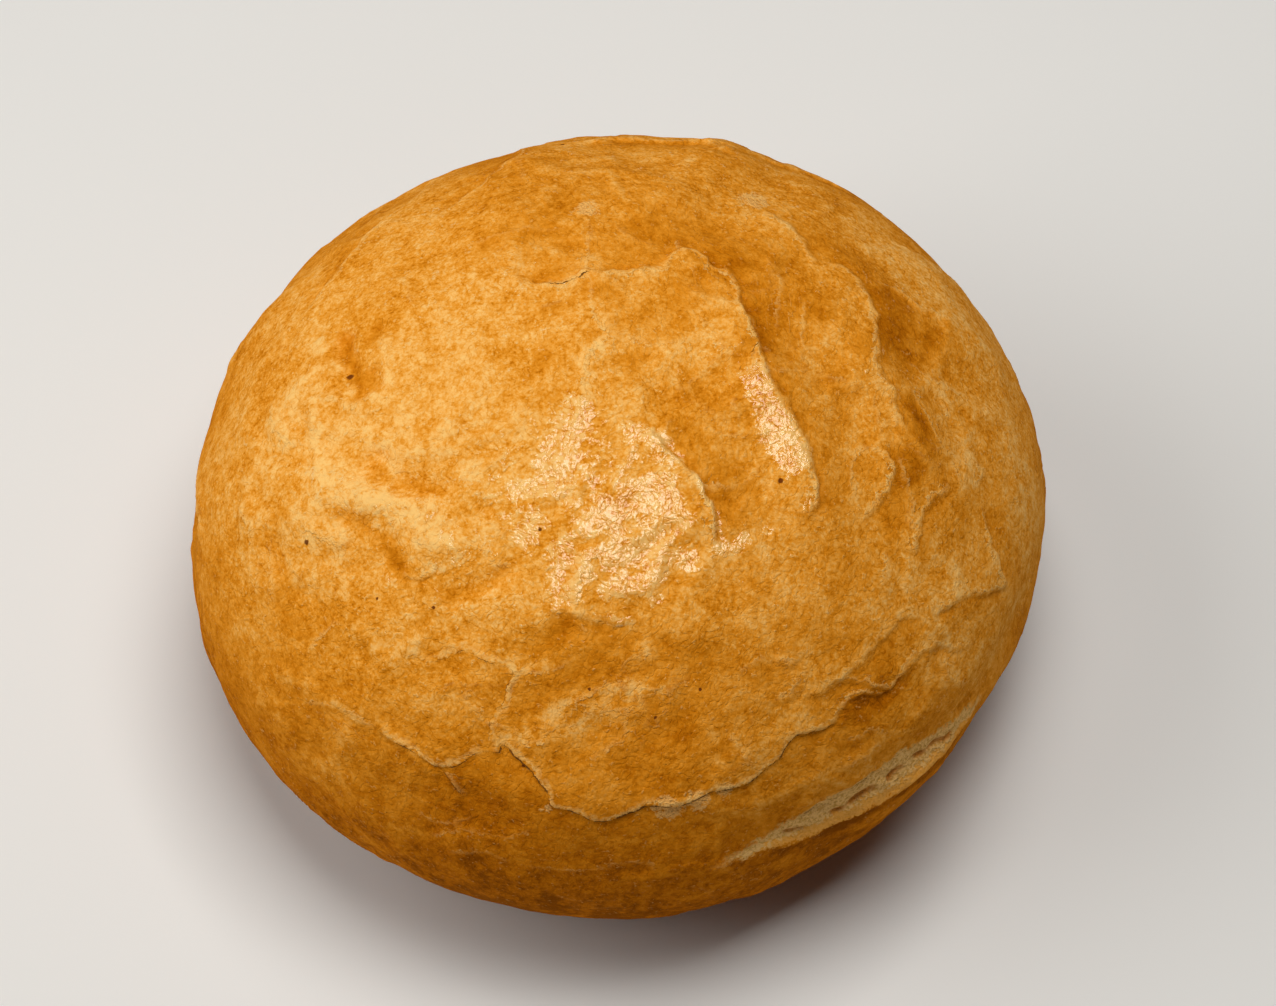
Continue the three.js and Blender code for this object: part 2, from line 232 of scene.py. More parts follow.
# Route, crest, width, valley, side, pale
FOLDS = [
    # crown
    Fold([(98, 55), (103, 66), (108, 74), (117, 79.5), (120, 84), (-176, 85), (-128, 81), (-107, 72)],
         0.1, 1.3, 0, 0, 0.75),
    Fold([(114, 84), (34, 84), (17, 78), (19, 73)], 0.1, 0.9, 0.05, 0, 0.5),
    Fold([(134, 62), (132, 65.5), (128, 69), (122, 71), (113, 71.5), (105, 71), (92, 71.5), (80, 70.5),
          (70, 68.5), (69, 66), (65, 63), (57, 62.5), (51, 63.5), (46, 62), (37, 63.5), (30, 65.5),
          (17, 65.5), (9, 66.5)], 0.28, 0.7, 0.26, 1, 0.75),
    Fold([(135, 53), (121, 57), (104, 59)], 0.1, 1.4, 0.06, -1, 0.2),
    # long pleat and the creases that join it
    Fold([(34, 62.5), (26, 66), (14, 67), (4, 66), (-6, 64), (-16, 60), (-23, 56), (-29, 53), (-36, 50),
          (-43, 48)], 0.34, 0.7, 0.28, 1, 0.75),
    Fold([(-48, 79), (-12, 75), (7, 68)], 0.14, 1, 0.12, -1, 0.3),
    Fold([(-11, 68), (-2, 59), (-2, 49)], 0.1, 1, 0.08, -1, 0.3),
    # inner pleat, at the edge of the glossy plate, and the wrinkles of that plate
    Fold([(-71, 77), (-66, 73), (-62, 67.5), (-59, 64), (-60, 61.5), (-59, 59.5), (-62, 56), (-63, 53)],
         0.3, 0.5, 0.2, 1, 0.85),
    Fold([(-68, 59), (-70, 56.5), (-76, 56), (-80, 53), (-83, 50.5), (-89, 50), (-94, 51.5)],
         0.2, 0.7, 0.1, 0, 0.2),
    Fold([(-94, 53), (-88, 54), (-83, 55), (-78, 55.5)], -0.16, 0.5, 0, 0, 0),
    Fold([(-92, 57), (-86, 58), (-80, 58.5), (-75, 60)], 0.14, 0.6, 0.08, 0, 0.1),
    Fold([(-106, 46), (-97, 46), (-91, 45.5), (-87, 45.5)], 0.18, 0.7, 0.12, -1, 0.2),
    Fold([(-84, 47.5), (-82, 48), (-80, 49)], 0.14, 0.6, 0.08, -1, 0.2),
    # shoulder pleat
    Fold([(56, 45), (52.5, 45), (48, 45.5), (43.5, 46.5), (38.5, 47.5), (35.5, 48.5)],
         0.22, 1, 0.14, 1, 0.6),
    Fold([(35.5, 48.5), (33.5, 45), (30, 44), (25.5, 44), (20.5, 44.5), (15, 45.5), (9.5, 46),
          (4.5, 46.5), (1.5, 46), (-2, 44.5), (-5.5, 43.5), (-9, 42), (-11, 42.5)],
         0.28, 0.6, 0.22, 1, 0.75),
    Fold([(-15, 45.5), (-15.5, 43.5), (-17.5, 42), (-21.5, 41.5), (-25.5, 41.5), (-29, 42), (-31.5, 42)],
         0.17, 0.5, 0.14, 1, 0.75),
    Fold([(-11.5, 43), (-13.5, 45), (-15, 46.5), (-16, 48.5), (-20, 49), (-23.5, 49), (-27, 47),
          (-29, 45)], 0.08, 0.5, 0.05, -1, 0.6),
    Fold([(27.5, 41), (26.5, 38), (24, 36), (21.5, 34.5), (20, 32), (18, 29)], 0.2, 0.8, 0.18, -1, 0.6),
    Fold([(1.5, 42), (-0.5, 40.5), (-3.5, 38.5), (-6, 37), (-8, 35.5), (-8.5, 33.5), (-11, 32),
          (-13, 31.5)], 0.14, 0.5, 0.12, -1, 0.65),
    Fold([(-13, 31.5), (-16, 32.5), (-17.5, 34), (-19.5, 35), (-23, 35.5), (-26, 34.5), (-28.5, 34),
          (-30.5, 34.5)], 0.2, 0.5, 0.16, 1, 0.7),
    Fold([(-5, 29.5), (-5.5, 27.5), (-7, 26), (-9, 26.5), (-11.5, 28.5), (-13, 31)],
         0.1, 0.5, 0.08, 1, 0.5),
    Fold([(-32.5, 37), (-34.5, 35), (-37.5, 34)], 0.07, 0.5, 0.04, 1, 0.6),
    Fold([(1, 35), (0, 34), (-1.5, 33.5)], 0.1, 0.7, 0, 0, 0.6),
    Fold([(26.5, 55.5), (19.5, 56.5), (11, 57.5), (4.5, 57)], 0.06, 0.5, 0, 0, 0.45),
    Fold([(38, 54.5), (27.5, 59), (16, 62)], 0.05, 0.5, 0, 0, 0.4),
    Fold([(-62, 36.5), (-60, 34), (-57, 34.5)], 0.2, 0.5, 0.1, -1, 0.6),
    # lower plate on the right
    Fold([(-12.5, 26.5), (-14.5, 24.5), (-17, 22), (-19, 19), (-20, 16.5), (-23, 19), (-26, 21.5),
          (-29.5, 24), (-32.5, 25.5), (-35, 25.5)], 0.22, 0.55, 0.22, 1, 0.65),
    Fold([(-35, 25.5), (-38, 28.5), (-41, 29.5), (-45, 29), (-49, 28.5), (-53, 28.5), (-58, 28.5)],
         0.18, 0.6, 0.16, 1, 0.5),
    Fold([(-25, 27.5), (-27, 25.5), (-29.5, 24.5)], 0.06, 0.5, 0, 0, 0.5),
    Fold([(-27, 20), (-30, 17), (-33, 18), (-37, 22), (-41, 23), (-44, 23), (-47, 23), (-51.5, 24.5),
          (-53.5, 25), (-56, 24), (-57.5, 23.5), (-60.5, 24), (-64, 24.5), (-67.5, 25.5)],
         0.18, 0.5, 0.2, 1, 0.65),
    Fold([(-56.5, 19.5), (-54, 18.5), (-52, 18.5), (-50.5, 16)], 0.1, 0.6, 0.08, -1, 0.6),
    # left side: a broad ridge between two valleys, and the dents round it
    Fold([(-168.5, 36), (-161.5, 39.5), (-156.5, 42), (-151.5, 44.5), (-146, 47), (-142, 49.5),
          (-138.5, 52.5)], 0.6, 1.9, 0, 0, 0.35),
    Fold([(-136, 41), (-133.5, 42), (-131, 43.5), (-130, 45)], 0.18, 0.5, 0.14, -1, 0.8),
    Fold([(-134, 47), (-131.5, 48), (-128, 47.5)], 0.14, 0.5, 0.1, -1, 0.7),
    Fold([(-166.5, 45.5), (-160, 46.5), (-155, 47.5), (-150, 49.5), (-144.5, 52), (-138, 55)],
         -0.7, 1.5, 0, 0, 0),
    Fold([(-156, 39), (-151.5, 40.5), (-147.5, 42), (-142.5, 42), (-138.5, 41.5), (-133.5, 42.5)],
         -0.38, 1.1, 0, 0, 0),
    Fold([(-140, 45.5), (-133, 47.5), (-131.5, 50.5)], 0.28, 1.2, 0.05, 0, 0.5),
    Fold([(-128, 41), (-125.5, 43), (-121.5, 45.5), (-117.5, 48.5), (-113, 52)], -0.6, 1.4, 0, 0, 0),
    Fold([(-136, 49.5), (-134, 52), (-131.5, 55), (-129, 57)], -0.35, 1.2, 0, 0, 0),
    Fold(LEFT_CURL, 0.5, 1.1, 0, 0, 0.2),
    Fold(LOWER_CURL, 0.4, 1.1, 0, 0, 0.2),
    Fold(STEEP_CURL, 0.35, 0.7, 0, 0, 0.2),
    Fold(LEFT_HOLLOW, -0.7, 0.9, 0, 0, 0),
    Fold(SHORT_HOLLOW, -0.5, 1, 0, 0, 0),
    Fold(UPPER_HOLLOW, -0.45, 0.9, 0, 0, 0),
    Fold(UPPER_CURL, 0.3, 0.8, 0, 0, 0.2),
    Fold([(-176.5, 43), (-176.5, 45.5), (-176.5, 47.5), (-176, 49.5)], 0.3, 0.8, 0, 0, 0.7),
    Fold(SHORT_CURL, 0.35, 0.8, 0, 0, 0.2),
    Fold([(176.5, 30.5), (-176.5, 33), (-170.5, 36)], 0.4, 1.2, 0.1, 0, 0.7),
    Fold([(-158.5, 33), (-153.5, 35), (-148, 38)], 0.35, 1.2, 0.1, 0, 0.6),
    Fold([(-169, 24), (-163, 25), (-158.5, 24)], 0.4, 1.3, 0.1, 0, 0.7),
    Fold([(-160, 28), (-152, 28), (-145, 31)], -0.35, 1.6, 0, 0, 0),
    # front brow and the soft ridges on the plate below it
    Fold([(-126, 39), (-119, 41), (-112, 40), (-106, 44), (-96, 45.5), (-85, 45), (-76, 42), (-66, 40)],
         0.22, 2.6, 0.16, -1, 0.05),
    Fold([(-110, 36), (-104, 38), (-98, 40)], 0.16, 1.1, 0.06, 0, 0.5),
    Fold([(-103, 32), (-98, 34), (-94, 36), (-91, 37), (-85, 36), (-81, 36), (-77, 37)],
         0.18, 1.2, 0.08, 0, 0.5),
    Fold([(-107, 27), (-103, 28), (-100, 30), (-97, 31), (-94, 33), (-90, 33), (-85, 34)],
         0.2, 1.2, 0.08, 0, 0.6),
    Fold([(-94, 27), (-92, 28), (-89, 30), (-89, 32), (-85, 34)], 0.14, 1.1, 0.05, 0, 0.4),
    Fold([(-89, 39), (-88, 41), (-83, 42)], 0.14, 1, 0.05, 0, 0.4),
    Fold([(-61, 29), (-56, 28), (-53, 28), (-49, 25), (-46, 21)], 0.18, 0.8, 0.12, -1, 0.5),
    # soft wrinkles low on the front
    Fold([(-116.5, 8), (-111, 12), (-105.5, 12.5), (-102, 15)], 0.14, 1, 0.1, 1, 0.3),
    Fold([(-112.5, 6), (-106.5, 8.5), (-105, 7)], 0.12, 1, 0.08, -1, 0.25),
    Fold([(-102.5, 7), (-95, 7.5), (-87, 9.5), (-85.5, 8)], 0.14, 1, 0.1, -1, 0.25),
    Fold([(-118.5, 11), (-114, 11), (-110, 13.5)], 0.12, 1, 0.08, -1, 0.25),
    Fold([(-139, 16.5), (-134.5, 19.5), (-130.5, 20.5), (-126, 21)], 0.12, 0.7, 0.08, -1, 0.45),
    Fold([(-69, 34.5), (-66, 35.5), (-62.5, 36)], 0.1, 0.6, 0.06, -1, 0.4),
    Fold([(-65, 30), (-59.5, 31), (-57, 31.5)], 0.1, 0.6, 0.06, -1, 0.4),
    Fold([(-73, 28.5), (-71, 25), (-70, 22.5)], 0.08, 0.7, 0, 0, 0.4),
    # back and far side
    Fold([(134, 40), (126, 40), (118, 38), (110, 34), (106, 27), (98, 22), (92, 20)],
         0.16, 0.9, 0.12, 1, 0.35),
    Fold([(76, 34), (70, 30), (72, 24), (66, 14), (58, 8), (54, 0)], 0.26, 0.8, 0.2, -1, 0.5),
    Fold([(100, 33), (94, 30), (88, 29), (80, 30), (72, 28), (64, 26), (56, 25), (44, 22)],
         0.2, 0.9, 0.2, -1, 0.5),
    Fold([(-168, 14), (-176, 11), (176, 9), (168, 11), (160, 14), (152, 20), (146, 24)],
         0.26, 0.8, 0.2, 1, 0.5),
    Fold([(40, 30), (34, 24), (30, 16), (22, 12), (10, 12)], 0.26, 0.8, 0.2, 1, 0.5),
    Fold([(160, 30), (150, 33), (139, 31), (128, 28), (120, 20)], 0.24, 0.9, 0.2, 1, 0.5),
    Fold([(84, 8), (94, 4), (108, 5), (120, 0), (132, 2)], 0.2, 0.8, 0.16, 1, 0.5),
]

# Route, raise on the left, drop on the right, gap, pale
CRACKS = [
    Crack([(-110, 25), (-108, 25), (-107.5, 26.5), (-104, 24.5), (-100.5, 22), (-99.5, 19.5), (-96, 19),
           (-92.5, 17.5), (-88.5, 19), (-85.5, 20), (-82, 19.5), (-78, 20.5), (-75, 20.5), (-71.5, 20.5),
           (-68.5, 21.5), (-66, 22.5), (-63, 24.5), (-58.5, 23.5), (-54, 23.5)], 0.17, 0.18, 0.11, 0.8),
    Crack([(-126, 21), (-123.5, 21), (-119.5, 21), (-116, 20.5), (-113.5, 21.5), (-111.5, 24), (-110, 25)],
          0.12, 0.12, 0.045, 0.8),
    Crack([(-115.5, 20), (-114, 19), (-112, 17)], 0.1, 0.14, 0.05, 0.35),
    Crack([(-124, 32.5), (-120.5, 35), (-117.5, 37), (-114, 36.5), (-109, 37), (-109, 34.5), (-109, 32),
           (-110, 30.5), (-110, 28), (-110, 25)], 0.05, 0.06, 0.015, 0.75),
    Crack([(128.5, 69.6), (122, 71.3), (113, 71.8), (105, 71.3)], 0.08, 0.14, 0.07, 0.8),
    Crack([(9, 66.5), (3, 68), (-6, 70)], 0.04, 0.1, 0.035, 0.5),
    Crack([(138, 3), (130, 1), (121, 4), (113, 6), (104, 5), (96, 7), (88, 10), (80, 9), (72, 11)],
          0.26, 0.3, 0.07, 0.6),
    Crack([(20, -4), (28, -1), (36, -3), (45, 1), (54, 0)], 0.16, 0.2, 0.08, 0.5),
]

# The burst seam: its middle, its half-width in mm at each point, and the pits in its crumb
TEAR_ROUTE = [(-82, 6.8), (-76, 7.4), (-71, 7.9), (-66, 8.2), (-61, 8.1), (-56, 7.9), (-50, 7.6), (-44, 6.4),
              (-39, 5.4), (-34, 3.8), (-29, 2.8)]
TEAR_HALF_WIDTHS = [0.05, 0.35, 1.0, 1.9, 2.5, 2.75, 2.7, 2.3, 1.7, 0.9, 0.1]
TEAR_PITS = strokes(
    ([(-60, 7), (-58.5, 7.4), (-56, 7.7), (-54.5, 7.7), (-52.5, 7.4)], 0.42, 1),
    ([(-50.8, 7.2), (-49, 7.5), (-47.6, 7.9)], 0.5, 1.1),
    ([(-46.5, 7.6), (-44.5, 7), (-42.5, 6.4), (-40, 5.5), (-38, 4.8)], 0.36, 0.8),
    ([(-67.5, 8.3), (-65.5, 7.5), (-63.5, 7)], 0.36, 0.6),
    ([(-64.5, 9.8), (-63, 10.2), (-61.3, 10.4)], 0.3, 0.4),
)

# Well baked and lightly baked areas of the skin, with some broad painted shade and light
BAKE_AND_SHADE_PATCHES = patches(
    # broad: besides the bake, painted shade on the lower front and painted light on the lower right
    (-150, 46, 14, -0.09), (85, 80, 9, -0.06), (163, 61, 9, -0.1), (100, 45, 14, 0.13),
    (45, 54, 10, 0.2), (160, 46, 8, 0.1), (-85, 36, 11, 0.07), (-45, 38, 10, 0.18), (-2, 34, 12, 0.14),
    (180, 8, 8, -0.1), (-5, 10, 7, -0.1), (-140, 24, 9, 0.08), (-95, 3, 20, 0.08), (-112, 18, 19, 0.12),
    (-90, 26, 12, 0.1), (-90, -6, 22, 0.16), (-150, 0, 18, 0.1), (-55, -6, 14, 0.12), (90, -2, 26, 0.1),
    (-30, 12, 18, -0.16), (10, 20, 16, -0.08), (100, 40, 12, 0.12),
    # crown and top
    (129, 55, 2.6, 0.12), (115.5, 57.5, 3, 0.16), (105.5, 64.5, 2.5, 0.12), (88, 63.5, 3, 0.14),
    (78, 58.5, 2.4, 0.1), (103, 75, 1.8, 0.07), (85, 77, 2.2, 0.11), (62, 79, 2.2, 0.11),
    (78, 86, 2, 0.11), (113, 84, 1.5, 0.07), (50, 73, 2.2, 0.08), (50, 69, 2, 0.06),
    (174.5, 77, 1.4, 0.13), (-24.5, 88, 1.6, 0.13), (10.5, 85.5, 1.2, 0.12), (130, 76, 1.5, 0.12),
    (178.5, 55, 1.5, 0.1), (100, 66, 6, -0.06), (123, 57, 5, 0.1), (68, 57, 6, 0.12),
    (102, 75, 1.8, 0.26), (104, 83, 1.8, 0.25), (176, 77, 1.7, 0.26), (51, 71, 2.2, 0.25),
    (47, 80, 3.5, 0.17), (13, 68, 1.5, 0.2), (-20, 86, 2, 0.15), (138, 72, 2.5, 0.11),
    # far right
    (15, 34.5, 2.4, 0.14), (20, 40, 3.2, 0.22), (15, 32, 3, 0.16), (11, 40, 2.6, 0.17),
    (11, 48, 2.2, 0.19), (-1, 53, 2, 0.15), (22, 53, 2.4, 0.14), (-6, 38, 4.5, 0.1),
    (-15, 40, 2.2, 0.15), (-16, 29, 3, 0.15), (-22, 24, 2.5, 0.11), (-40, 26, 3, 0.15),
    (-48, 24, 2.4, 0.2), (-53, 22, 2.4, 0.18), (-59, 22, 2.5, 0.11), (-59, 36, 3, 0.14),
    (-49, 34, 2.6, 0.12), (-60, 48, 3, 0.12), (-40, 40, 2.6, 0.09),
    # between the long pleat and the shoulder pleat
    (20, 62, 5, 0.1), (-40, 66, 5, 0.1),
    # inside the gloss and left of it
    (-92, 65, 2.6, 0.09), (-48, 61, 3.2, 0.12), (-65, 62, 1.6, 0.14), (-30, 80, 2.4, 0.12),
    (-115, 50, 2.4, 0.11), (-138, 41, 2, 0.22), (-147, 52, 2.4, 0.11), (-156, 47, 1.8, 0.11),
    (-161, 30, 2, 0.12), (-150, 23, 2.6, 0.12), (-142, 21, 1.3, 0.21), (179, 45, 1.8, 0.12),
    # lower front
    (-96, 40, 5, 0.04), (-83, 32, 5, 0.09), (-75, 24, 2.4, 0.11), (-111, 20, 4, 0.14), (-62, 1, 4, 0.15),
    (-78, 8, 3, 0.09),
    # blotches right of the long pleat
    (-3, 55, 1, 0.16), (-0.5, 51, 1, 0.16), (-9, 51.5, 0.9, 0.12), (-5, 40, 1.3, 0.22),
    (-8.5, 39, 1, 0.14), (-18.5, 40, 1, 0.16), (-13, 36, 1.4, 0.12), (-2, 32.5, 1.5, 0.14),
    (0.5, 38, 1, 0.14), (-24.5, 48, 1, 0.14), (-30.5, 39, 1.6, 0.14), (-42.5, 36, 1.2, 0.1),
    (-28.5, 29, 1.3, 0.12), (-20.5, 29.5, 1.5, 0.14), (-12, 21.5, 1.2, 0.15), (-20.5, 22.5, 1.8, 0.12),
    (-24, 22, 1.3, 0.14), (15.5, 41.5, 2.2, 0.28), (10.5, 39.5, 1.2, 0.15), (15, 34.5, 1, 0.24),
    (15.5, 31.5, 0.9, 0.2), (23, 39, 1.8, 0.14), (25, 62.5, 1.4, 0.12), (10, 64.5, 1.2, 0.14),
    (23, 53.5, 1.3, 0.16), (3, 60, 1.3, 0.14), (45.5, 59, 1.2, 0.16), (38.5, 50.5, 1.6, 0.14),
    (43, 43, 2, 0.12), (33.5, 40.5, 2, 0.12), (10.5, 48, 1.4, 0.2), (14, 68.5, 0.9, 0.14),
    # blotches on the left
    (-173, 26.5, 0.8, 0.2), (-168, 30.5, 1, 0.24), (180, 22.5, 1, 0.16), (-155, 39.5, 0.9, 0.1),
    (-145, 42.5, 0.9, 0.14), (-138, 41, 1.1, 0.2), (-156.5, 46.5, 1, 0.12),
    # back
    (50, 21, 8, 0.12), (110, 25, 7, 0.12), (140, 22, 6, 0.11), (170, 12, 5, 0.11), (30, 5, 6, 0.12),
    # lightly baked
    (-165, 47, 9, -0.08), (-95, 57, 9, -0.05), (-110, 66, 8, -0.06), (-138, 46, 6, -0.08),
    (-74, 46, 4, -0.04), (-115, 42, 6, -0.12), (-150, 38, 10, -0.06), (-100, 36, 4, 0.12),
    (-70, 33, 6, 0.1), (-92, 72, 7, 0.03), (-72, 22, 4, -0.08), (95, 34, 8, -0.08), (60, 50, 6, -0.04),
)

# Where the skin is glossier or duller than elsewhere; glossier skin is also painted paler, as a highlight
SHEENS = patches(
    (-92, 63, 7, 0.24), (-120, 45, 4.5, 0.12), (-132, 59, 5, 0.12), (3, 49.5, 2.2, 0.25),
    (150, 62, 9, 0.1), (-48, 68, 4, -0.6), (-48, 58, 3.6, -0.5), (-10, 54, 5, -0.4), (66, 76, 4, -0.3),
    (-75, 45, 3, -0.3),
)

# Glossy streaks, where the crust is stretched thin, also painted paler as highlights
STREAKS = strokes(
    # left of the glossy plate
    ([(-121.5, 81), (-123, 75.5), (-118.5, 70.5), (-115, 65.5), (-115.5, 62)], 1.8, 0.8),
    ([(-115.5, 63.5), (-122, 62), (-128, 59.5)], 0.9, 0.7),
    ([(-113.5, 59.5), (-116, 56), (-117.5, 53)], 1.1, 0.7),
    ([(-127.5, 70.5), (-122, 65.5)], 1, 0.45),
    ([(-108.5, 56.5), (-103.5, 53), (-102, 49.5), (-98, 48)], 1.2, 0.8),
    # along the inner pleat
    ([(-90, 74.5), (-75.5, 75.5), (-66.5, 73.5), (-63, 70), (-60.5, 66.5)], 1, 0.85),
    ([(-61, 67), (-59.5, 63.5), (-59.5, 59.5), (-62, 55.5), (-63.5, 52)], 0.5, 0.8),
    ([(-64, 52), (-58.5, 52.5), (-53.5, 53)], 0.7, 0.7),
    # folds of the glossy plate
    ([(-74.5, 68.5), (-73.5, 63), (-73, 59), (-71.5, 56.5)], 1.6, 0.75),
    ([(-79, 64), (-92, 61.5), (-103, 59)], 1, 0.65),
    ([(-95.5, 53.5), (-89.5, 55.5), (-82.5, 56.5), (-76, 58.5)], 1, 0.9),
    ([(-95, 49.5), (-88.5, 50.5), (-82.5, 51), (-78.5, 53.5), (-76.5, 56)], 0.9, 1),
    ([(-101, 54.5), (-96, 50.5)], 0.7, 0.6),
    ([(-69.5, 54.5), (-73.5, 51)], 1, 0.45),
    ([(-104.5, 46.5), (-102, 46.5)], 0.6, 0.7),
    ([(-92.5, 46), (-86.5, 45.5)], 0.5, 0.9),
    ([(-84, 48), (-79.5, 48.5)], 0.5, 0.8),
    # flank of the long pleat
    ([(2, 67.5), (-13.5, 65.5), (-25, 61), (-29.5, 57), (-31, 53.5)], 1.4, 0.95),
    ([(-23.5, 62), (-27, 58), (-28.5, 55.5)], 1.6, 0.5),
    ([(-49, 53.5), (-50, 51)], 0.7, 0.6),
    ([(-38, 52.5), (-37.5, 49)], 1, 0.35),
    # left side
    ([(-170, 35.5), (-157.5, 41), (-145, 46.5), (-137.5, 54)], 1.6, 0.2),
    ([(-135, 48.5), (-130.5, 49)], 0.5, 0.6),
    ([(-132, 44), (-128.5, 45)], 0.5, 0.6),
    ([(-128.5, 46), (-127, 48.5)], 0.5, 0.6),
    ([(-138.5, 38.5), (-135.5, 40)], 0.5, 0.5),
)

# Painted shade: orange-brown streaks at the bottom of creases
GROOVE_SHADES = strokes(
    (LEFT_HOLLOW, 0.55, 0.42),
    (UPPER_HOLLOW, 0.55, 0.3),
    (SHORT_HOLLOW, 0.8, 0.3),
    ([(-158, 38), (-151.5, 40.5), (-147.5, 42), (-142.5, 42), (-138.5, 41.5), (-134, 42)], 0.75, 0.34),
    ([(-164, 46), (-160, 46.5), (-155, 47.5), (-150, 49.5), (-144.5, 52), (-138, 55)], 0.55, 0.24),
    ([(-128, 41), (-125.5, 43), (-121.5, 45.5), (-117.5, 48.5)], 0.6, 0.2),
    ([(27, 42), (21, 43.3), (15, 44), (9, 45)], 0.8, 0.16),
    ([(22, 64), (14, 65.2), (5, 64.6), (-5, 62)], 0.6, 0.14),
)

# Milky streaks on the crests of creases, partly painted light on lit crests
HAZES_AND_LIGHTS = strokes(
    (LEFT_CURL, 0.6, 0.9),
    (LOWER_CURL, 0.7, 0.9),
    (STEEP_CURL, 0.45, 0.7),
    (SHORT_CURL, 0.6, 0.9),
    (UPPER_CURL, 0.6, 0.5),
    ([(-170, 35.5), (-161.5, 39.5), (-156.5, 42.3), (-151.5, 45), (-146, 47.5), (-142, 50), (-138.5, 53)],
     1, 0.7),
    ([(-175, 35), (-171, 31), (-167, 27)], 0.7, 0.4),
    ([(172, 26), (180, 19), (-172, 13), (-163, 9), (-154, 7)], 3.6, 0.45),
    ([(-22, 8), (-14, 11), (-6, 14), (2, 18)], 3.6, 0.5),
    # lower plate
    ([(-109, 26), (-106, 28), (-102.5, 31), (-98.5, 34), (-94.5, 35.5)], 1, 1),
    ([(-94.5, 35.5), (-90.5, 36.5), (-86, 36.5), (-80, 35.5)], 1.1, 0.75),
    ([(-90.5, 38.5), (-87.5, 41.5), (-83, 42)], 0.9, 0.7),
    ([(-98.5, 29), (-94.5, 31.5), (-92, 33.5)], 0.8, 0.7),
    ([(-110, 37), (-104.5, 39), (-97.5, 41)], 1, 0.7),
    ([(-76.5, 32), (-75.5, 27), (-75, 23.5)], 0.9, 0.65),
    ([(-116, 20.5), (-113, 22.5), (-110.5, 25)], 0.7, 0.8),
    ([(-122.5, 6.5), (-116.5, 7.5), (-107.5, 11)], 0.8, 0.8),
    ([(-93.5, 12), (-88, 14), (-82.5, 14)], 0.7, 0.8),
)

# Dark specks of burnt flour: bearing, rise, radius in mm
MOLES = [
    (176, 44, 0.48), (-154, 33, 0.38), (-113, 57, 0.3), (-38, 56, 0.4), (-95, 36, 0.2), (-84, 32, 0.22),
    (-76, 35, 0.22), (-104, 24, 0.2), (-127, 40, 0.24), (-137, 36, 0.2), (100, 30, 0.3), (60, 20, 0.26),
    (150, 10, 0.3), (20, 5, 0.24),
]

# Scuffs that show dry crumb: bearing, rise, radius in mm
SCUFFS = [
    (-83, 19.3, 1.3), (-79, 20, 1.0), (-75, 20.6, 0.8), (99, 55, 1.0), (60, 43, 1.3), (-100, 19, 0.4),
    (120, 13, 0.9),
]
SCUFF_SOFTNESS = 0.6  # share of a scuff's radius over which its edge fades

# Broad dents that even out the outline, in mm
DENTS = patches(
    (88, 32, 13, -0.75), (168, 14, 12, -0.65), (-61, 2, 7, -0.95), (-70, -14, 9, -0.4),
    (38, 22, 10, 0.4), (0, 6, 8, 0.3), (-128, 0, 9, -0.45),
)

# How a route becomes a line on the skin
ROUTE_STEPS = 8  # straight steps between two points of a route
END_TAPER = 0.16  # share of a fold's length over which each end dies away
CRACK_TAPER = 0.1
STROKE_TAPER = 0.12
FAR = 50.0  # mm, stands for nowhere near a line
LINE_REACH = 1.4  # mm from a fold or crack beyond which nothing of its line is drawn
LINE_LIMIT = 3.0  # mm, the most that is stored as a distance from a fold or crack

WOBBLE_SEED = 7  # for the noise that keeps lines and patches from being smooth; 0 would be the time of day

# How a fold is shaped, in its own widths
CREST_TAIL = 4.5  # how far behind the edge the raised skin falls away
VALLEY_TAIL = 3.5  # how far before the edge the sunk skin comes up again
STEP_DOWN = (-0.35, 0.6)  # where the step from the crest to the valley begins and ends
VALLEY_SHADE_STEP = (-0.2, 0.5)  # where the valley's painted shade begins and ends

# Distances and sizes on the skin, in mm
EDGE_BACK = 0.4  # from a fold's middle back to its pale edge
CRACK_EDGE = 0.42  # from a crack to the pale edge of the plate on its left
CRACK_STEP = 0.16  # half the width of the step at a crack
RAISED_TAIL = 2.4  # how far from a crack the plate on its left bends up
DROPPED_TAIL = 2.0  # how far from a crack the skin on its right bends down
VALLEY_SHADE_TAIL = 4.0  # how far the painted shade reaches into a valley
PIT_DEPTH = 0.42  # of the pits in the torn crumb
TEAR_REACH = 6.0  # from the middle of the seam to where nothing of it is left
TEAR_LIP = 0.3  # height of the lip below the seam
TEAR_BROW = 0.12  # height of the edge above the seam
SHADE_REACH = 5.0  # how far below the seam the painted shade goes

# Which of the skin's faces are split into four: those nearer than this to a line, in mm
TEAR_FINE = 3.7
CRACK_FINE = 1.0
FOLD_FINE = 0.9
FINE_CREST = 0.15  # only folds with a higher crest have finer faces
BALL_RADIUS = 12 * MM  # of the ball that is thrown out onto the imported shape
LEAST_REACH = 18 * MM  # from the core to the skin

# Sizes of the skin's pattern, in mm
BEND_SIZE = 2.4  # of the noise that bends lines, and how far it pushes them
BEND_REACH = 1.1
MOTTLE_SIZE = 2.1
FLAKE_SIZE = 1.1
GRAIN_SIZE = 0.4
WORM_SIZE = 1.0
CELL_SIZE = 0.55
NET_SIZE = 3.6
NET_LINE = 0.5
NET_PATCH_SIZE = 8.0
DRIFT_SIZE = 9.0
DOME_HEIGHT = 0.055
GROOVE_DEPTH = 0.03
FLAKE_HEIGHT = 0.02
GRAIN_HEIGHT = 0.014
SWELL_SIZE = 21
HUMMOCK_SIZE = 9.5
DIMPLE_SIZE = 4.4
CRINKLE_SIZE = 2.9
PLATE_SIZE = 11.0
PLATE_LINE = 1.3
HOLLOW_SCALE = 8.0  # makes the depth of a dimple in mm a share of about 1
ROLL_REACH = 44.0  # from the core to the skin, for the size of specks

# Heights above the floor between which something grows from nothing to its full strength, in mm
BAKE_AND_SHADE_HEIGHTS = (44.0, 6.0)
FILM_HEIGHTS = (34.0, 48.0)
BUMP_HEIGHTS = (14.0, 36.0)
SOLE_HEIGHTS = (1.2, 0.3)
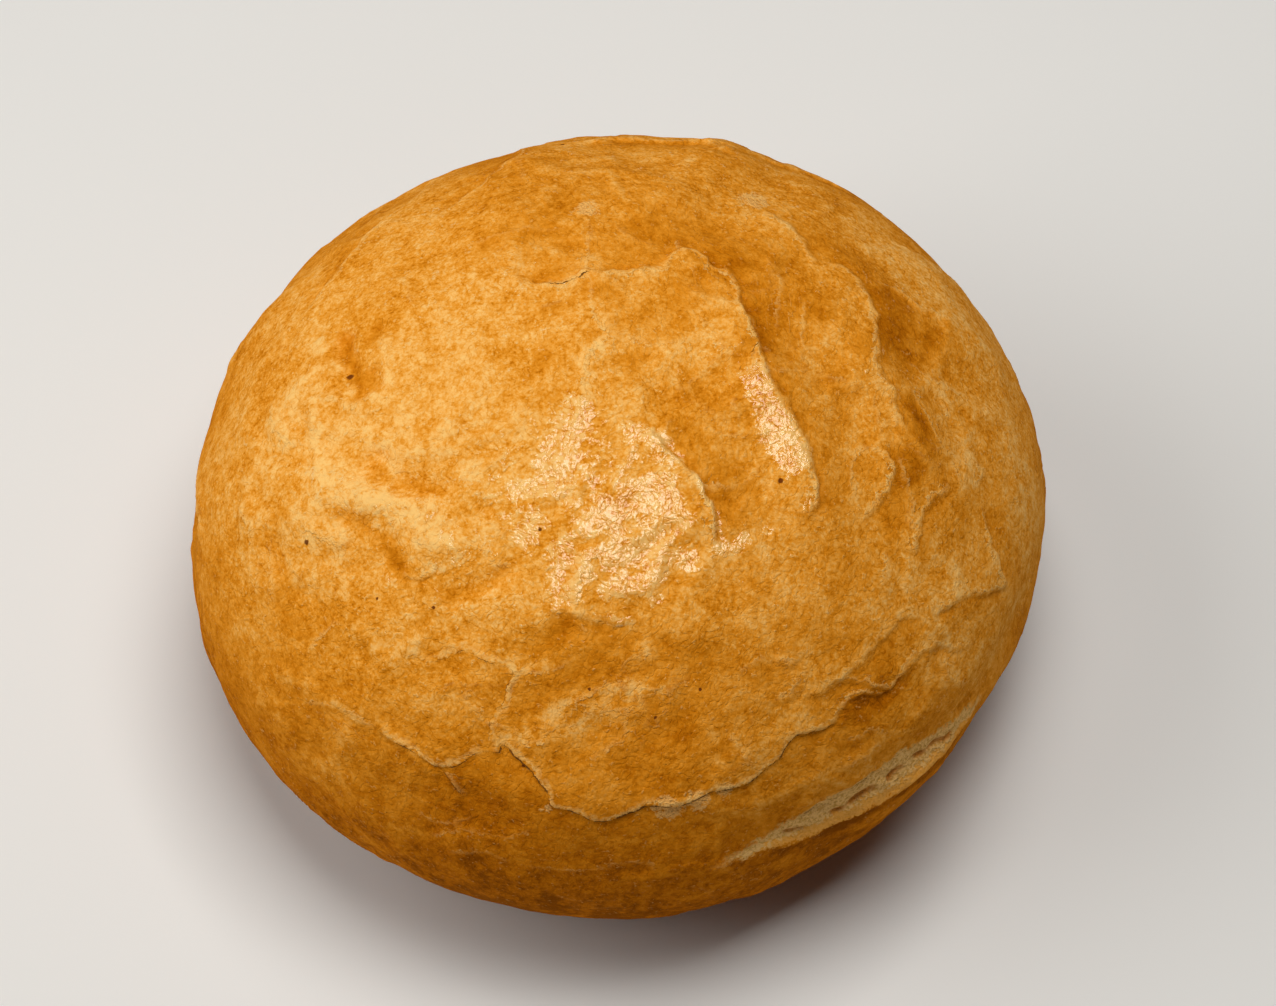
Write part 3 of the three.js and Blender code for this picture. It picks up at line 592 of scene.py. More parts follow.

# How darkly the skin is baked, with the painted shade on it, from 0 to 1
BAKE_CROWN = 0.225
FOOT_BAKE_AND_SHADE = 0.74  # how much darker than the crown the foot is: partly a browner underside, partly painted shade on the downward-facing lower rim
BAKE_AND_SHADE_SHARE = 0.8  # share of the darkness of blotches and of painted shade and light that shows
TEAR_SHADE = 0.35  # how much painted shade darkens the skin just below the seam
PALEST_TONE = -0.18
LIGHT_TO_DARK = (0.2, 0.6)  # values of bake and painted shade between which the mottling grows calmer


# ---------------------------------------------------------------------------------------------
# Node trees
# ---------------------------------------------------------------------------------------------


class Web:
    """Adds nodes to one tree and joins them, so that a material or a relief reads as a list of steps."""

    def __init__(self, tree):
        self.tree = tree

    def node(self, kind, **settings):
        made = self.tree.nodes.new(kind)
        for name, value in settings.items():
            setattr(made, name, value)
        return made

    def feed(self, socket, value):
        if isinstance(value, bpy.types.NodeSocket):
            self.tree.links.new(value, socket)
        else:
            socket.default_value = value

    def math(self, operation, a, b=0.0, clamp=False):
        made = self.node("ShaderNodeMath", operation=operation, use_clamp=clamp)
        self.feed(made.inputs[0], a)
        self.feed(made.inputs[1], b)
        return made.outputs[0]

    def times(self, first, *others):
        for other in others:
            first = self.math("MULTIPLY", first, other)
        return first

    def most(self, first, *others):
        for other in others:
            first = self.math("MAXIMUM", first, other)
        return first

    def total(self, first, *others):
        """The sum of terms. A term may be a (value, weight)."""
        first = self.times(*first) if isinstance(first, tuple) else first
        for other in others:
            other = self.times(*other) if isinstance(other, tuple) else other
            first = self.math("ADD", first, other)
        return first

    def size(self, value):
        return self.math("ABSOLUTE", value)

    def vector(self, operation, a, b=None, scale=None):
        made = self.node("ShaderNodeVectorMath", operation=operation)
        self.feed(made.inputs[0], a)
        if b is not None:
            self.feed(made.inputs[1], b)
        if scale is not None:
            self.feed(made.inputs["Scale"], scale)
        return made.outputs["Value" if operation == "DISTANCE" else "Vector"]

    def ramp(self, value, low, high, to_low=0.0, to_high=1.0, smooth=True):
        kind = "SMOOTHSTEP" if smooth else "LINEAR"
        made = self.node("ShaderNodeMapRange", interpolation_type=kind, clamp=True)
        names = ("Value", "From Min", "From Max", "To Min", "To Max")
        for name, given in zip(names, (value, low, high, to_low, to_high)):
            self.feed(made.inputs[name], given)
        return made.outputs["Result"]

    def noise(self, place, size, detail=2.0, roughness=0.5, colour=False):
        """Noise whose lumps are size millimetres long."""
        made = self.node("ShaderNodeTexNoise")
        self.feed(made.inputs["Vector"], place)
        made.inputs["Scale"].default_value = 1 / size
        made.inputs["Detail"].default_value = detail
        made.inputs["Roughness"].default_value = roughness
        return made.outputs["Color" if colour else 0]

    def swing(self, value, half):
        """A value around one half, stretched to run from -1 to 1 and cut off there."""
        return self.ramp(value, 0.5 - half, 0.5 + half, -1, 1, smooth=False)

    def cells(self, place, size, feature="F1"):
        made = self.node("ShaderNodeTexVoronoi", feature=feature)
        self.feed(made.inputs["Vector"], place)
        made.inputs["Scale"].default_value = 1 / size
        return made.outputs["Distance"]

    def warp(self, place, size, reach, detail=1.0):
        """The place pushed about by noise, up to about half of reach millimetres."""
        push = self.vector("SUBTRACT", self.noise(place, size, detail, colour=True), (0.5, 0.5, 0.5))
        return self.vector("ADD", place, self.vector("SCALE", push, scale=reach))

    def mix(self, share, a, b):
        made = self.node("ShaderNodeMix", data_type="RGBA", clamp_factor=True)
        self.feed(made.inputs[0], share)
        self.feed(made.inputs[6], a)
        self.feed(made.inputs[7], b)
        return made.outputs[2]

    def blend(self, share, a, b):
        made = self.node("ShaderNodeMix", data_type="FLOAT", clamp_factor=True)
        self.feed(made.inputs[0], share)
        self.feed(made.inputs[2], a)
        self.feed(made.inputs[3], b)
        return made.outputs[0]

    def tones(self, value, stops):
        """A colour ramp with a (position, colour) for each stop."""
        made = self.node("ShaderNodeValToRGB")
        self.feed(made.inputs["Fac"], value)
        elements = made.color_ramp.elements
        while len(elements) < len(stops):
            elements.new(0.5)
        for element, (position, colour) in zip(elements, stops):
            element.position = position
            element.color = colour
        return made.outputs["Color"]

    def attribute(self, name):
        return self.node("ShaderNodeAttribute", attribute_name=name).outputs["Fac"]

    def millimetres(self):
        """Object coordinates, in millimetres."""
        place = self.node("ShaderNodeTexCoord").outputs["Object"]
        return self.vector("SCALE", place, scale=1 / MM)

    def group(self, tree, **values):
        made = self.node("ShaderNodeGroup", node_tree=tree)
        for name, value in values.items():
            self.feed(made.inputs[name], value)
        return made.outputs

    def finish(self, colour, roughness, **constants):
        """A Principled shader of this colour and roughness, joined to the output."""
        shader = self.node("ShaderNodeBsdfPrincipled")
        self.feed(shader.inputs["Base Color"], colour)
        self.feed(shader.inputs["Roughness"], roughness)
        for name, value in constants.items():
            shader.inputs[name.replace("_", " ")].default_value = value
        self.feed(self.node("ShaderNodeOutputMaterial").inputs["Surface"], shader.outputs["BSDF"])
        return shader


def new_material(name):
    material = bpy.data.materials.new(name)
    material.use_nodes = True
    material.node_tree.nodes.clear()
    return material, Web(material.node_tree)


def new_group(name, kind, inputs, outputs):
    """An empty node group. Its inputs are {name: default} and its outputs are names.

    Place and Bent are vectors and Geometry is geometry, without a default. All others are plain numbers.
    """
    special = {"Place": "NodeSocketVector", "Bent": "NodeSocketVector", "Geometry": "NodeSocketGeometry"}
    tree = bpy.data.node_groups.new(name, kind)
    for label, default in inputs.items():
        socket_type = special.get(label, "NodeSocketFloat")
        socket = tree.interface.new_socket(label, in_out="INPUT", socket_type=socket_type)
        if default is not None:
            socket.default_value = default
    for label in outputs:
        socket_type = special.get(label, "NodeSocketFloat")
        tree.interface.new_socket(label, in_out="OUTPUT", socket_type=socket_type)
    web = Web(tree)
    return tree, web, web.node("NodeGroupInput").outputs, web.node("NodeGroupOutput").inputs


def skin_pattern_group():
    """The skin's fine pattern.

    Mottle, Flake and Grain run from -1 to 1. Worm runs from 0, on a thin wandering line, to 1. Cell runs
    from 0 at the middle of a cell to about 1 at its corners.
    """
    outputs = ("Bent", "Mottle", "Flake", "Grain", "Worm", "Cell")
    tree, web, given, result = new_group("Skin Pattern", "ShaderNodeTree", {"Place": None}, outputs)
    place = given["Place"]
    bent = web.warp(place, BEND_SIZE, BEND_REACH, detail=0)
    worm = web.size(web.math("SUBTRACT", web.noise(bent, WORM_SIZE, 1), 0.5))
    web.feed(result["Bent"], bent)
    web.feed(result["Mottle"], web.swing(web.noise(place, MOTTLE_SIZE, 4, 0.85), 0.15))
    web.feed(result["Flake"], web.swing(web.noise(place, FLAKE_SIZE, 1, 0.6), 0.16))
    web.feed(result["Grain"], web.swing(web.noise(place, GRAIN_SIZE, 1, 0.8), 0.2))
    web.feed(result["Worm"], web.ramp(worm, 0.0, 0.22, smooth=False))
    web.feed(result["Cell"], web.cells(bent, CELL_SIZE))
    return tree


def vein_net_group():
    """A net of soft pale creases, in patches."""
    inputs = {"Place": None, "Bent": None, "Cell": 4.0, "Line": 0.3}
    tree, web, given, result = new_group("Vein Net", "ShaderNodeTree", inputs, ("Vein",))
    scaled = web.vector("SCALE", given["Bent"], scale=web.math("DIVIDE", 1.0, given["Cell"]))
    edge = web.times(web.cells(scaled, 1.0, "DISTANCE_TO_EDGE"), given["Cell"])
    line = web.ramp(web.math("DIVIDE", edge, given["Line"]), 1.0, 0.0)
    patchy = web.ramp(web.noise(given["Place"], NET_PATCH_SIZE, 1), 0.42, 0.62)
    web.feed(result["Vein"], web.times(line, patchy))
    return tree


def skin_height_group():
    """Height in millimetres of the skin's small domes, the grooves between its flakes, and its grain."""
    inputs = {"Flake": 0.0, "Grain": 0.0, "Worm": 0.5, "Cell": 0.5}
    tree, web, given, result = new_group("Skin Height", "ShaderNodeTree", inputs, ("Height",))
    height = web.total(
        web.ramp(given["Worm"], 0.34, 0.0, 0.0, -GROOVE_DEPTH),
        (web.times(given["Cell"], given["Cell"]), -DOME_HEIGHT),
        (given["Grain"], GRAIN_HEIGHT),
        (given["Flake"], FLAKE_HEIGHT),
    )
    web.feed(result["Height"], height)
    return tree


# ---------------------------------------------------------------------------------------------
# Places on the skin
# ---------------------------------------------------------------------------------------------


def direction(bearing, rise):
    b, r = math.radians(bearing), math.radians(rise)
    return np.array([math.cos(r) * math.cos(b), math.cos(r) * math.sin(b), math.sin(r)])


def route_line(route):
    """A smooth line of unit directions through a route's points."""
    knots = np.array([direction(*point) for point in route])
    knots = np.vstack([2 * knots[0] - knots[1], knots, 2 * knots[-1] - knots[-2]])
    line = []
    for a, b, c, d in zip(knots, knots[1:], knots[2:], knots[3:]):
        for t in np.arange(ROUTE_STEPS) / ROUTE_STEPS:
            bend = (2 * a - 5 * b + 4 * c - d) * t**2 + (3 * b - a - 3 * c + d) * t**3
            line.append(0.5 * (2 * b + (c - a) * t + bend))
    line.append(knots[-2])
    line = np.array(line)
    return line / np.linalg.norm(line, axis=1)[:, None]


def beside(aims, radii, line, reach):
    """Millimetres to the left of a line for each aim, and the share along it. FAR past reach mm."""
    side = np.full(len(aims), FAR)
    along = np.zeros(len(aims))
    closeness = aims @ line.T
    nearest = closeness.argmax(1)
    step = np.linalg.norm(np.diff(line, axis=0), axis=1).max()
    limit = math.cos(min(reach / radii.min() + step, math.pi))
    near = np.flatnonzero(closeness[np.arange(len(aims)), nearest] > limit)
    best = np.full(len(near), FAR)
    for shift in (-1, 0):
        first = np.clip(nearest[near] + shift, 0, len(line) - 2)
        start, leg = line[first], line[first + 1] - line[first]
        gone = aims[near] - start
        share = np.clip((gone * leg).sum(1) / (leg * leg).sum(1), 0, 1)
        apart = np.linalg.norm(gone - leg * share[:, None], axis=1) * radii[near]
        left = np.sign((np.cross(start, leg) * aims[near]).sum(1))
        closer = apart < best
        best = np.where(closer, apart, best)
        side[near[closer]] = (left * apart)[closer]
        along[near[closer]] = ((first + share) / (len(line) - 1))[closer]
    side[np.abs(side) > reach] = FAR
    return side, along


def bell(distance, width):
    return np.exp(-np.square(distance / width))


def tail(distance, reach):
    """1 at no distance, dying away with it."""
    return np.exp(-distance / reach)


def smooth_step(value, low, high):
    share = np.clip((value - low) / (high - low), 0, 1)
    return share * share * (3 - 2 * share)


def end_fade(along, taper):
    return smooth_step(np.minimum(along, 1 - along), 0, taper)


class Skin:
    """Where a mesh's points lie on the roll, in millimetres from its core."""

    def __init__(self, points, core):
        away = points / MM - np.array(core) / MM
        self.radii = np.linalg.norm(away, axis=1)
        self.aims = away / self.radii[:, None]
        self.points = points / MM

    def nothing(self):
        return np.zeros(len(self.radii))

    def shaken(self, *pushes):
        """The same skin with its aims moved by seeded noise, for each push of (size, reach) in mm."""
        other = object.__new__(Skin)
        other.radii, other.aims, other.points = self.radii, self.aims, self.points
        for size, reach in pushes:
            push = np.array([noise.noise_vector(Vector(p / size)) for p in self.points])
            moved = other.aims + push * (reach / self.radii)[:, None]
            other.aims = moved / np.linalg.norm(moved, axis=1)[:, None]
        return other

    def unevenness(self, size, shift):
        """Noise from about -1 to 1, with lumps of this size in mm."""
        offset = Vector((shift, 0, 0))
        return np.array([noise.noise(Vector(p / size) + offset) for p in self.points])

    def beside(self, route, reach):
        return beside(self.aims, self.radii, route_line(route), reach)

    def apart(self, bearing, rise):
        """Millimetres from the place at this bearing and rise."""
        return np.linalg.norm(self.aims - direction(bearing, rise), axis=1) * self.radii


def small_folds(count, seed=7):
    """Short creases scattered over the whole roll, longest round the shoulder."""
    draw = random.Random(seed)
    made = []
    for _ in range(count):
        bearing, rise = draw.uniform(-180, 180), math.degrees(math.asin(draw.uniform(-0.35, 0.97)))
        heading, turn = draw.uniform(0, 360), draw.uniform(-25, 25)
        route = [(bearing, rise)]
        for _ in range(draw.choice((2, 3, 3, 4))):
            leg = draw.uniform(2.4, 4.4)
            rise = max(-25, min(84, rise + leg * math.sin(math.radians(heading))))
            bearing += leg * math.cos(math.radians(heading)) / max(math.cos(math.radians(rise)), 0.15)
            heading += turn
            route.append((bearing, rise))
        made.append(Fold(route, draw.uniform(0.05, 0.17), draw.uniform(0.5, 0.9), draw.uniform(0.02, 0.1),
                         draw.choice((-1, 0, 1)), draw.uniform(0.1, 0.45) * (1 if rise > 12 else 0.4)))
    return made


# ---------------------------------------------------------------------------------------------
# The shape of the crust
# ---------------------------------------------------------------------------------------------


def pick(piece):
    """Selects one object alone and makes it the active one."""
    bpy.ops.object.select_all(action="DESELECT")
    piece.hide_set(False)
    piece.select_set(True)
    bpy.context.view_layer.objects.active = piece


def apply_modifier(piece, name, kind, **settings):
    pick(piece)
    modifier = piece.modifiers.new(name, kind)
    for key, value in settings.items():
        setattr(modifier, key, value)
    bpy.ops.object.modifier_apply(modifier=name)


def vertex_places(mesh):
    places = np.zeros(len(mesh.vertices) * 3)
    mesh.vertices.foreach_get("co", places)
    return places.reshape(-1, 3)


def keep_on_skin(mesh, name, values):
    """Stores one number for each vertex under a name that materials can read."""
    layer = mesh.attributes.new(name, "FLOAT", "POINT")
    layer.data.foreach_set("value", np.asarray(values, np.float32))


def packed_shape():
    """A joined-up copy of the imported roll, to shape the skin on."""
    copy = frame["nodes"][ROLL_NODE].copy()
    copy.data = copy.data.copy()
    copy.name = "shape_to_follow"
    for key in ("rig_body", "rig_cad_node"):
        if key in copy:
            del copy[key]
    copy.parent = None
    bpy.context.scene.collection.objects.link(copy)
    pick(copy)
    bpy.ops.object.mode_set(mode="EDIT")
    bpy.ops.mesh.select_all(action="SELECT")
    bpy.ops.mesh.remove_doubles(threshold=1e-6)
    bpy.ops.object.mode_set(mode="OBJECT")
    return copy


def even_ball(core, cells, crowding, radius):
    """A ball of even four-sided faces: a cut-up cube, spread and rounded, with smaller faces at the top."""
    bpy.ops.object.select_all(action="DESELECT")
    bpy.ops.mesh.primitive_cube_add(size=2)
    ball = bpy.context.object
    bpy.ops.object.mode_set(mode="EDIT")
    bpy.ops.mesh.subdivide(number_cuts=3)
    bpy.ops.mesh.subdivide(number_cuts=cells // 4 - 1)
    bpy.ops.object.mode_set(mode="OBJECT")
    places = np.tan(vertex_places(ball.data) * math.pi / 4)
    places /= np.linalg.norm(places, axis=1)[:, None]
    above, below = 1 + places[:, 2], crowding**2 * (1 - places[:, 2])
    level = (above - below) / (above + below)
    places[:, :2] *= np.sqrt((1 - level**2) / np.maximum(1 - places[:, 2] ** 2, 1e-12))[:, None]
    places[:, 2] = level
    ball.data.vertices.foreach_set("co", (places * radius + np.array(core)).reshape(-1))
    ball.data.update()
    return ball


def refine(piece, wanted):
    """Splits the faces that wanted(centres) picks, each into four."""
    mesh = piece.data
    centres = np.zeros(len(mesh.polygons) * 3)
    mesh.polygons.foreach_get("center", centres)
    chosen = wanted(centres.reshape(-1, 3))
    pick(piece)
    mesh.vertices.foreach_set("select", np.zeros(len(mesh.vertices), bool))
    mesh.edges.foreach_set("select", np.zeros(len(mesh.edges), bool))
    mesh.polygons.foreach_set("select", chosen)
    bpy.ops.object.mode_set(mode="EDIT")
    bpy.ops.mesh.select_mode(type="FACE")
    bpy.ops.mesh.subdivide(number_cuts=1, quadcorner="INNERVERT")
    bpy.ops.object.mode_set(mode="OBJECT")


def raise_dough(dough):
    """The smooth skin of the roll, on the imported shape, with smaller faces where it will be creased."""
    shape = packed_shape()
    piece = even_ball(dough.core, dough.cells, dough.crowding, BALL_RADIUS)
    piece.name = piece.data.name = "roll_crust"
    apply_modifier(piece, "follow", "SHRINKWRAP", target=shape, wrap_method="PROJECT",
                   use_positive_direction=True, use_negative_direction=False)
    reach = np.linalg.norm(vertex_places(piece.data) - np.array(dough.core), axis=1)
    if reach.min() < LEAST_REACH:
        raise RuntimeError("part of the skin didn't reach the packed roll")
    apply_modifier(piece, "settle", "SMOOTH", factor=0.5, iterations=dough.settle_passes)
    bpy.data.objects.remove(shape)

    def creased(centres):
        skin = Skin(centres, dough.core)
        lines = [(TEAR_ROUTE, TEAR_FINE)]
        lines += [(crack.route, CRACK_FINE) for crack in CRACKS]
        lines += [(fold.route, FOLD_FINE) for fold in FOLDS if fold.side and fold.crest > FINE_CREST]
        near = np.zeros(len(centres), bool)
        for route, fine in lines:
            near |= np.abs(skin.beside(route, fine + 1)[0]) < fine
        return near

    refine(piece, creased)
    return piece


def fold_relief(skin, folds, strength):
    """What the folds do at each point.

    Gives lift in mm, extra toast that is painted shade in the valleys and sunk folds, pale haze that is
    partly painted light on raised crests, and how far down from the nearest fold's edge the point lies and
    how pale that edge is.
    """
    bent = skin.shaken((5.0, 0.6), (1.8, 0.4), (0.8, 0.22))
    force = np.clip(1 + 0.7 * skin.unevenness(5.0, 3.0), 0.5, 1.4)
    lift, toast_and_shade, haze_and_light, line = (skin.nothing() for _ in range(4))
    nearest, down = skin.nothing() + FAR, skin.nothing() + FAR
    for fold in folds:
        wide = fold.width
        side, along = bent.beside(fold.route, 10 * wide)
        fade = end_fade(along, END_TAPER) * force
        apart = np.abs(side)
        if fold.side:
            slope = side * fold.side
            low = smooth_step(slope, STEP_DOWN[0] * wide, STEP_DOWN[1] * wide)
            dark = smooth_step(slope, VALLEY_SHADE_STEP[0] * wide, VALLEY_SHADE_STEP[1] * wide)
            shape = 0.85 * fold.crest * tail(apart, CREST_TAIL * wide) * (1 - low)
            shape -= 1.1 * fold.valley * tail(apart, VALLEY_TAIL * wide) * low
            # painted shade in the valley below the step
            toast_and_shade += 1.2 * fold.valley * tail(apart, VALLEY_SHADE_TAIL) * dark * fade
            # pale haze on the raised side, partly painted light
            haze_and_light += fold.pale * (0.4 * bell(slope + EDGE_BACK, 0.55) + 0.08 * bell(slope + 1.4, 1.6)) * fade
        else:
            slope = side - EDGE_BACK
            shape = fold.crest * bell(side, wide) - fold.valley * bell(apart - 2.1 * wide, 1.3 * wide)
            # painted shade in a sunk fold
            toast_and_shade += 0.1 * max(-fold.crest, 0) * bell(side, 1.2 * wide) * fade
            # pale haze along the crest, partly painted light
            haze_and_light += fold.pale * bell(side, wide) * fade
        lift += shape * fade * strength
        closer = apart < nearest
        nearest = np.where(closer, apart, nearest)
        down = np.where(closer, slope, down)
        line = np.where(closer, fold.pale * fade, line)
    line[nearest > LINE_REACH] = 0
    return lift, toast_and_shade, np.clip(haze_and_light, 0, 1), np.clip(down, -LINE_LIMIT, LINE_LIMIT), line


def crack_relief(skin):
    """Lift in mm at the cracks, painted shade below each step and painted light on the plate above it, and
    the side, the gap and the paleness of the nearest one.
    """
    bent = skin.shaken((2.2, 0.25), (0.8, 0.12))
    force = 0.9 + 0.6 * skin.unevenness(4.0, 9.0)
    lift, toast_and_shade, gap, pale = (skin.nothing() for _ in range(4))
    nearest = skin.nothing() + FAR
    for crack in CRACKS:
        side, along = bent.beside(crack.route, 12.0)
        apart = np.abs(side)
        fade = end_fade(along, CRACK_TAPER)
        left = smooth_step(side, -CRACK_STEP, CRACK_STEP)
        raised = crack.raise_left * tail(apart, RAISED_TAIL) * left
        dropped = crack.drop_right * tail(apart, DROPPED_TAIL) * (1 - left)
        lift += (raised - dropped) * fade * force
        # painted shade on the dropped skin below the step, painted light on the raised plate
        toast_and_shade += (0.5 * dropped - 0.3 * raised) * fade
        closer = apart < np.abs(nearest)
        nearest = np.where(closer, side, nearest)
        gap = np.where(closer, crack.gap * fade * force, gap)
        pale = np.where(closer, crack.pale * fade * force, pale)
    far = np.abs(nearest) > LINE_REACH
    gap[far] = pale[far] = 0
    return lift, toast_and_shade, np.clip(nearest, -LINE_LIMIT, LINE_LIMIT), gap, pale


def tear_relief(skin):
    """Lift in mm at the burst seam, its side and half-width, its pits, and the painted shade below it."""
    side, along = skin.shaken((3.0, 0.35), (1.1, 0.15)).beside(TEAR_ROUTE, 1.5 * TEAR_REACH)
    half = np.interp(along, np.linspace(0, 1, len(TEAR_HALF_WIDTHS)), TEAR_HALF_WIDTHS)
    half *= (1 + 0.3 * skin.unevenness(3.5, 5.0)) * smooth_step(TEAR_REACH - np.abs(side), 0, 1.5)
    inside = smooth_step(half - np.abs(side), -0.15, 0.3)
    size = np.clip(half / 1.8, 0, 1)
    edges = TEAR_BROW * bell(side - half - 0.4, 0.6) + TEAR_LIP * bell(side + half + 0.1, 0.5)
    pits = PIT_DEPTH * np.clip(stroke_map(skin, TEAR_PITS) * (1 + 0.8 * skin.unevenness(1.3, 4.0)), 0, 1)
    spongy = 0.09 * skin.unevenness(1.0, 11.0) + 0.3 * skin.unevenness(2.1, 6.0)
    lift = (edges + inside * (0.1 + spongy - pits)) * size
    below = -side - half
    # painted shade on the skin just below the seam's lip
    shade = smooth_step(below, -0.1, 0.5) * smooth_step(SHADE_REACH - below, 0, SHADE_REACH)
    shade *= TEAR_SHADE * size
    return lift, np.clip(side, -TEAR_REACH, TEAR_REACH), half, pits * inside * size, shade


def patch_map(skin, areas):
    """The sum of soft-edged patches at each point."""
    bent = skin.shaken((4.0, 1.2))
    total = skin.nothing()
    for patch in areas:
        total += patch.amount * bell(bent.apart(patch.bearing, patch.rise), patch.spread)
    return total


def stroke_map(skin, bands):
    """The sum of soft-edged bands at each point."""
    bent = skin.shaken((2.0, 0.5))
    total = skin.nothing()
    for stroke in bands:
        side, along = bent.beside(stroke.route, 4 * stroke.spread)
        total += stroke.amount * bell(side, stroke.spread) * end_fade(along, STROKE_TAPER)
    return total


def spot_map(skin, spots, softness):
    """1 on each (bearing, rise, radius) spot, fading to 0 over softness times its radius."""
    bent = skin.shaken((1.2, 0.35))
    found = skin.nothing()
    for bearing, rise, radius in spots:
        inward = 1 + softness - bent.apart(bearing, rise) / radius
        found = np.maximum(found, np.clip(inward / softness, 0, 1))
    return found


def relief_group(relief):
    """Geometry nodes that lift each point by its stored folds and by swells, mounds, plates and crinkles."""
    inputs, outputs = {"Geometry": None}, ("Geometry",)
    tree, web, given, result = new_group("Skin Relief", "GeometryNodeTree", inputs, outputs)
    place = web.vector("SCALE", web.node("GeometryNodeInputPosition").outputs[0], scale=1 / MM)

    def stored(name):
        found = web.node("GeometryNodeInputNamedAttribute", data_type="FLOAT")
        found.inputs["Name"].default_value = name
        return found.outputs["Attribute"]

    def lumps(where, size, detail=1):
        """Noise around nought."""
        return web.math("SUBTRACT", web.noise(where, size, detail), 0.5)

    bent = web.warp(place, 7.0, 5.0, detail=2)
    patchy = web.ramp(web.noise(place, 14, 1), 0.38, 0.62, 0.35, 1.2)
    edge = web.times(web.cells(bent, PLATE_SIZE, "DISTANCE_TO_EDGE"), PLATE_SIZE)
    crest = web.times(web.ramp(edge, PLATE_LINE, 0.0), web.ramp(web.noise(place, 18, 1), 0.42, 0.6))
    fine = web.total(
        (lumps(bent, DIMPLE_SIZE), relief.dimple),
        (web.size(lumps(bent, CRINKLE_SIZE)), -relief.crinkle),
    )
    height = web.total(
        (lumps(place, SWELL_SIZE, 0), relief.swell),
        (lumps(bent, HUMMOCK_SIZE), relief.hummock),
        (crest, relief.plate_crest),
        (fine, patchy),
    )
    lift = web.total((height, stored("free")), (stored("lift"), MM))
    geometry = given["Geometry"]
    for name, value in (("plate_crest", crest), ("hollow", web.times(fine, -HOLLOW_SCALE / MM))):
        kept = web.node("GeometryNodeStoreNamedAttribute", data_type="FLOAT", domain="POINT")
        web.feed(kept.inputs["Geometry"], geometry)
        kept.inputs["Name"].default_value = name
        web.feed(kept.inputs["Value"], value)
        geometry = kept.outputs["Geometry"]
    moved = web.node("GeometryNodeSetPosition")
    normal = web.node("GeometryNodeInputNormal").outputs[0]
    web.feed(moved.inputs["Geometry"], geometry)
    web.feed(moved.inputs["Offset"], web.vector("SCALE", normal, scale=lift))
    web.feed(result["Geometry"], moved.outputs["Geometry"])
    return tree


def crease_dough(piece, dough, relief):
    """Folds, cracks and tears the smooth skin, and stores on it what its material reads."""
    noise.seed_set(WOBBLE_SEED)
    mesh = piece.data
    skin = Skin(vertex_places(mesh), dough.core)
    free = smooth_step(skin.points[:, 2] * MM, dough.free_from, dough.free_above)
    every_fold = FOLDS + small_folds(relief.small_folds)
    folds, valley_shade, haze_and_light, fold_down, fold_line = fold_relief(skin, every_fold, relief.fold_strength)
    cracks, crack_shade_and_light, crack_side, crack_gap, crack_pale = crack_relief(skin)
    tear, tear_side, tear_half, tear_pit, tear_shade = tear_relief(skin)
    # bake of the blotches, with painted shade in valleys, grooves, below crack steps and below the seam, and
    # painted shade and light in the broad patches
    toast_and_shade = patch_map(skin, BAKE_AND_SHADE_PATCHES) + stroke_map(skin, GROOVE_SHADES) + valley_shade + crack_shade_and_light + tear_shade
    stored = {
        "free": free,
        "lift": (folds + cracks + tear + patch_map(skin, DENTS)) * free,
        "haze_and_light": haze_and_light + stroke_map(skin, HAZES_AND_LIGHTS),
        "fold_down": fold_down,
        "fold_line": fold_line,
        "crack_side": crack_side,
        "crack_gap": crack_gap,
        "crack_pale": crack_pale,
        "tear_side": tear_side,
        "tear_half": tear_half,
        "tear_pit": tear_pit,
        "toast_and_shade": toast_and_shade,
        "sheen": patch_map(skin, SHEENS) + stroke_map(skin, STREAKS),
        "scuff": spot_map(skin, SCUFFS, SCUFF_SOFTNESS),
    }
    for name, values in stored.items():
        keep_on_skin(mesh, name, values)
    apply_modifier(piece, "crease", "NODES", node_group=relief_group(relief))
    pick(piece)
    bpy.ops.object.shade_smooth()


# ---------------------------------------------------------------------------------------------
# The look of the crust
# ---------------------------------------------------------------------------------------------


class Pattern(NamedTuple):
    """Sockets of the skin's fine pattern, and the place and the height above the floor in mm."""

    place: bpy.types.NodeSocket
    level: bpy.types.NodeSocket
    mottle: bpy.types.NodeSocket
    flake: bpy.types.NodeSocket
    grain: bpy.types.NodeSocket
    ragged: bpy.types.NodeSocket
    shaggy: bpy.types.NodeSocket  # mm by which the edges of lines wander
    vein: bpy.types.NodeSocket
    lined: bpy.types.NodeSocket  # thin dark threads and pores
    height: bpy.types.NodeSocket  # of the small domes, grooves and grain, in mm


class Marks(NamedTuple):
    """Sockets that say, from 0 to 1, where something other than whole skin shows."""

    crest: bpy.types.NodeSocket
    gap: bpy.types.NodeSocket
    crack_pale: bpy.types.NodeSocket
    torn: bpy.types.NodeSocket
    lip: bpy.types.NodeSocket
    scuff: bpy.types.NodeSocket
    mole: bpy.types.NodeSocket
    matte: bpy.types.NodeSocket
    dull: bpy.types.NodeSocket


def read_pattern(web):
    place = web.millimetres()
    parts = web.node("ShaderNodeSeparateXYZ")
    web.feed(parts.inputs[0], place)
    pattern = web.group(skin_pattern_group(), Place=place)
    names = ("Mottle", "Flake", "Grain", "Worm", "Cell")
    mottle, flake, grain, worm, cell = (pattern[name] for name in names)
    net = web.group(vein_net_group(), Place=place, Bent=pattern["Bent"], Cell=NET_SIZE, Line=NET_LINE)
    height = web.group(skin_height_group(), Flake=flake, Grain=grain, Worm=worm, Cell=cell)["Height"]
    ragged = web.times(grain, 0.5)
    shaggy = web.total((ragged, 0.5), (flake, 0.2))
    lined = web.total((web.ramp(worm, 0.26, 0.06), 0.2), (web.ramp(cell, 0.6, 0.85), 0.14))
    level, vein = parts.outputs["Z"], net["Vein"]
    return Pattern(place, level, mottle, flake, grain, ragged, shaggy, vein, lined, height)


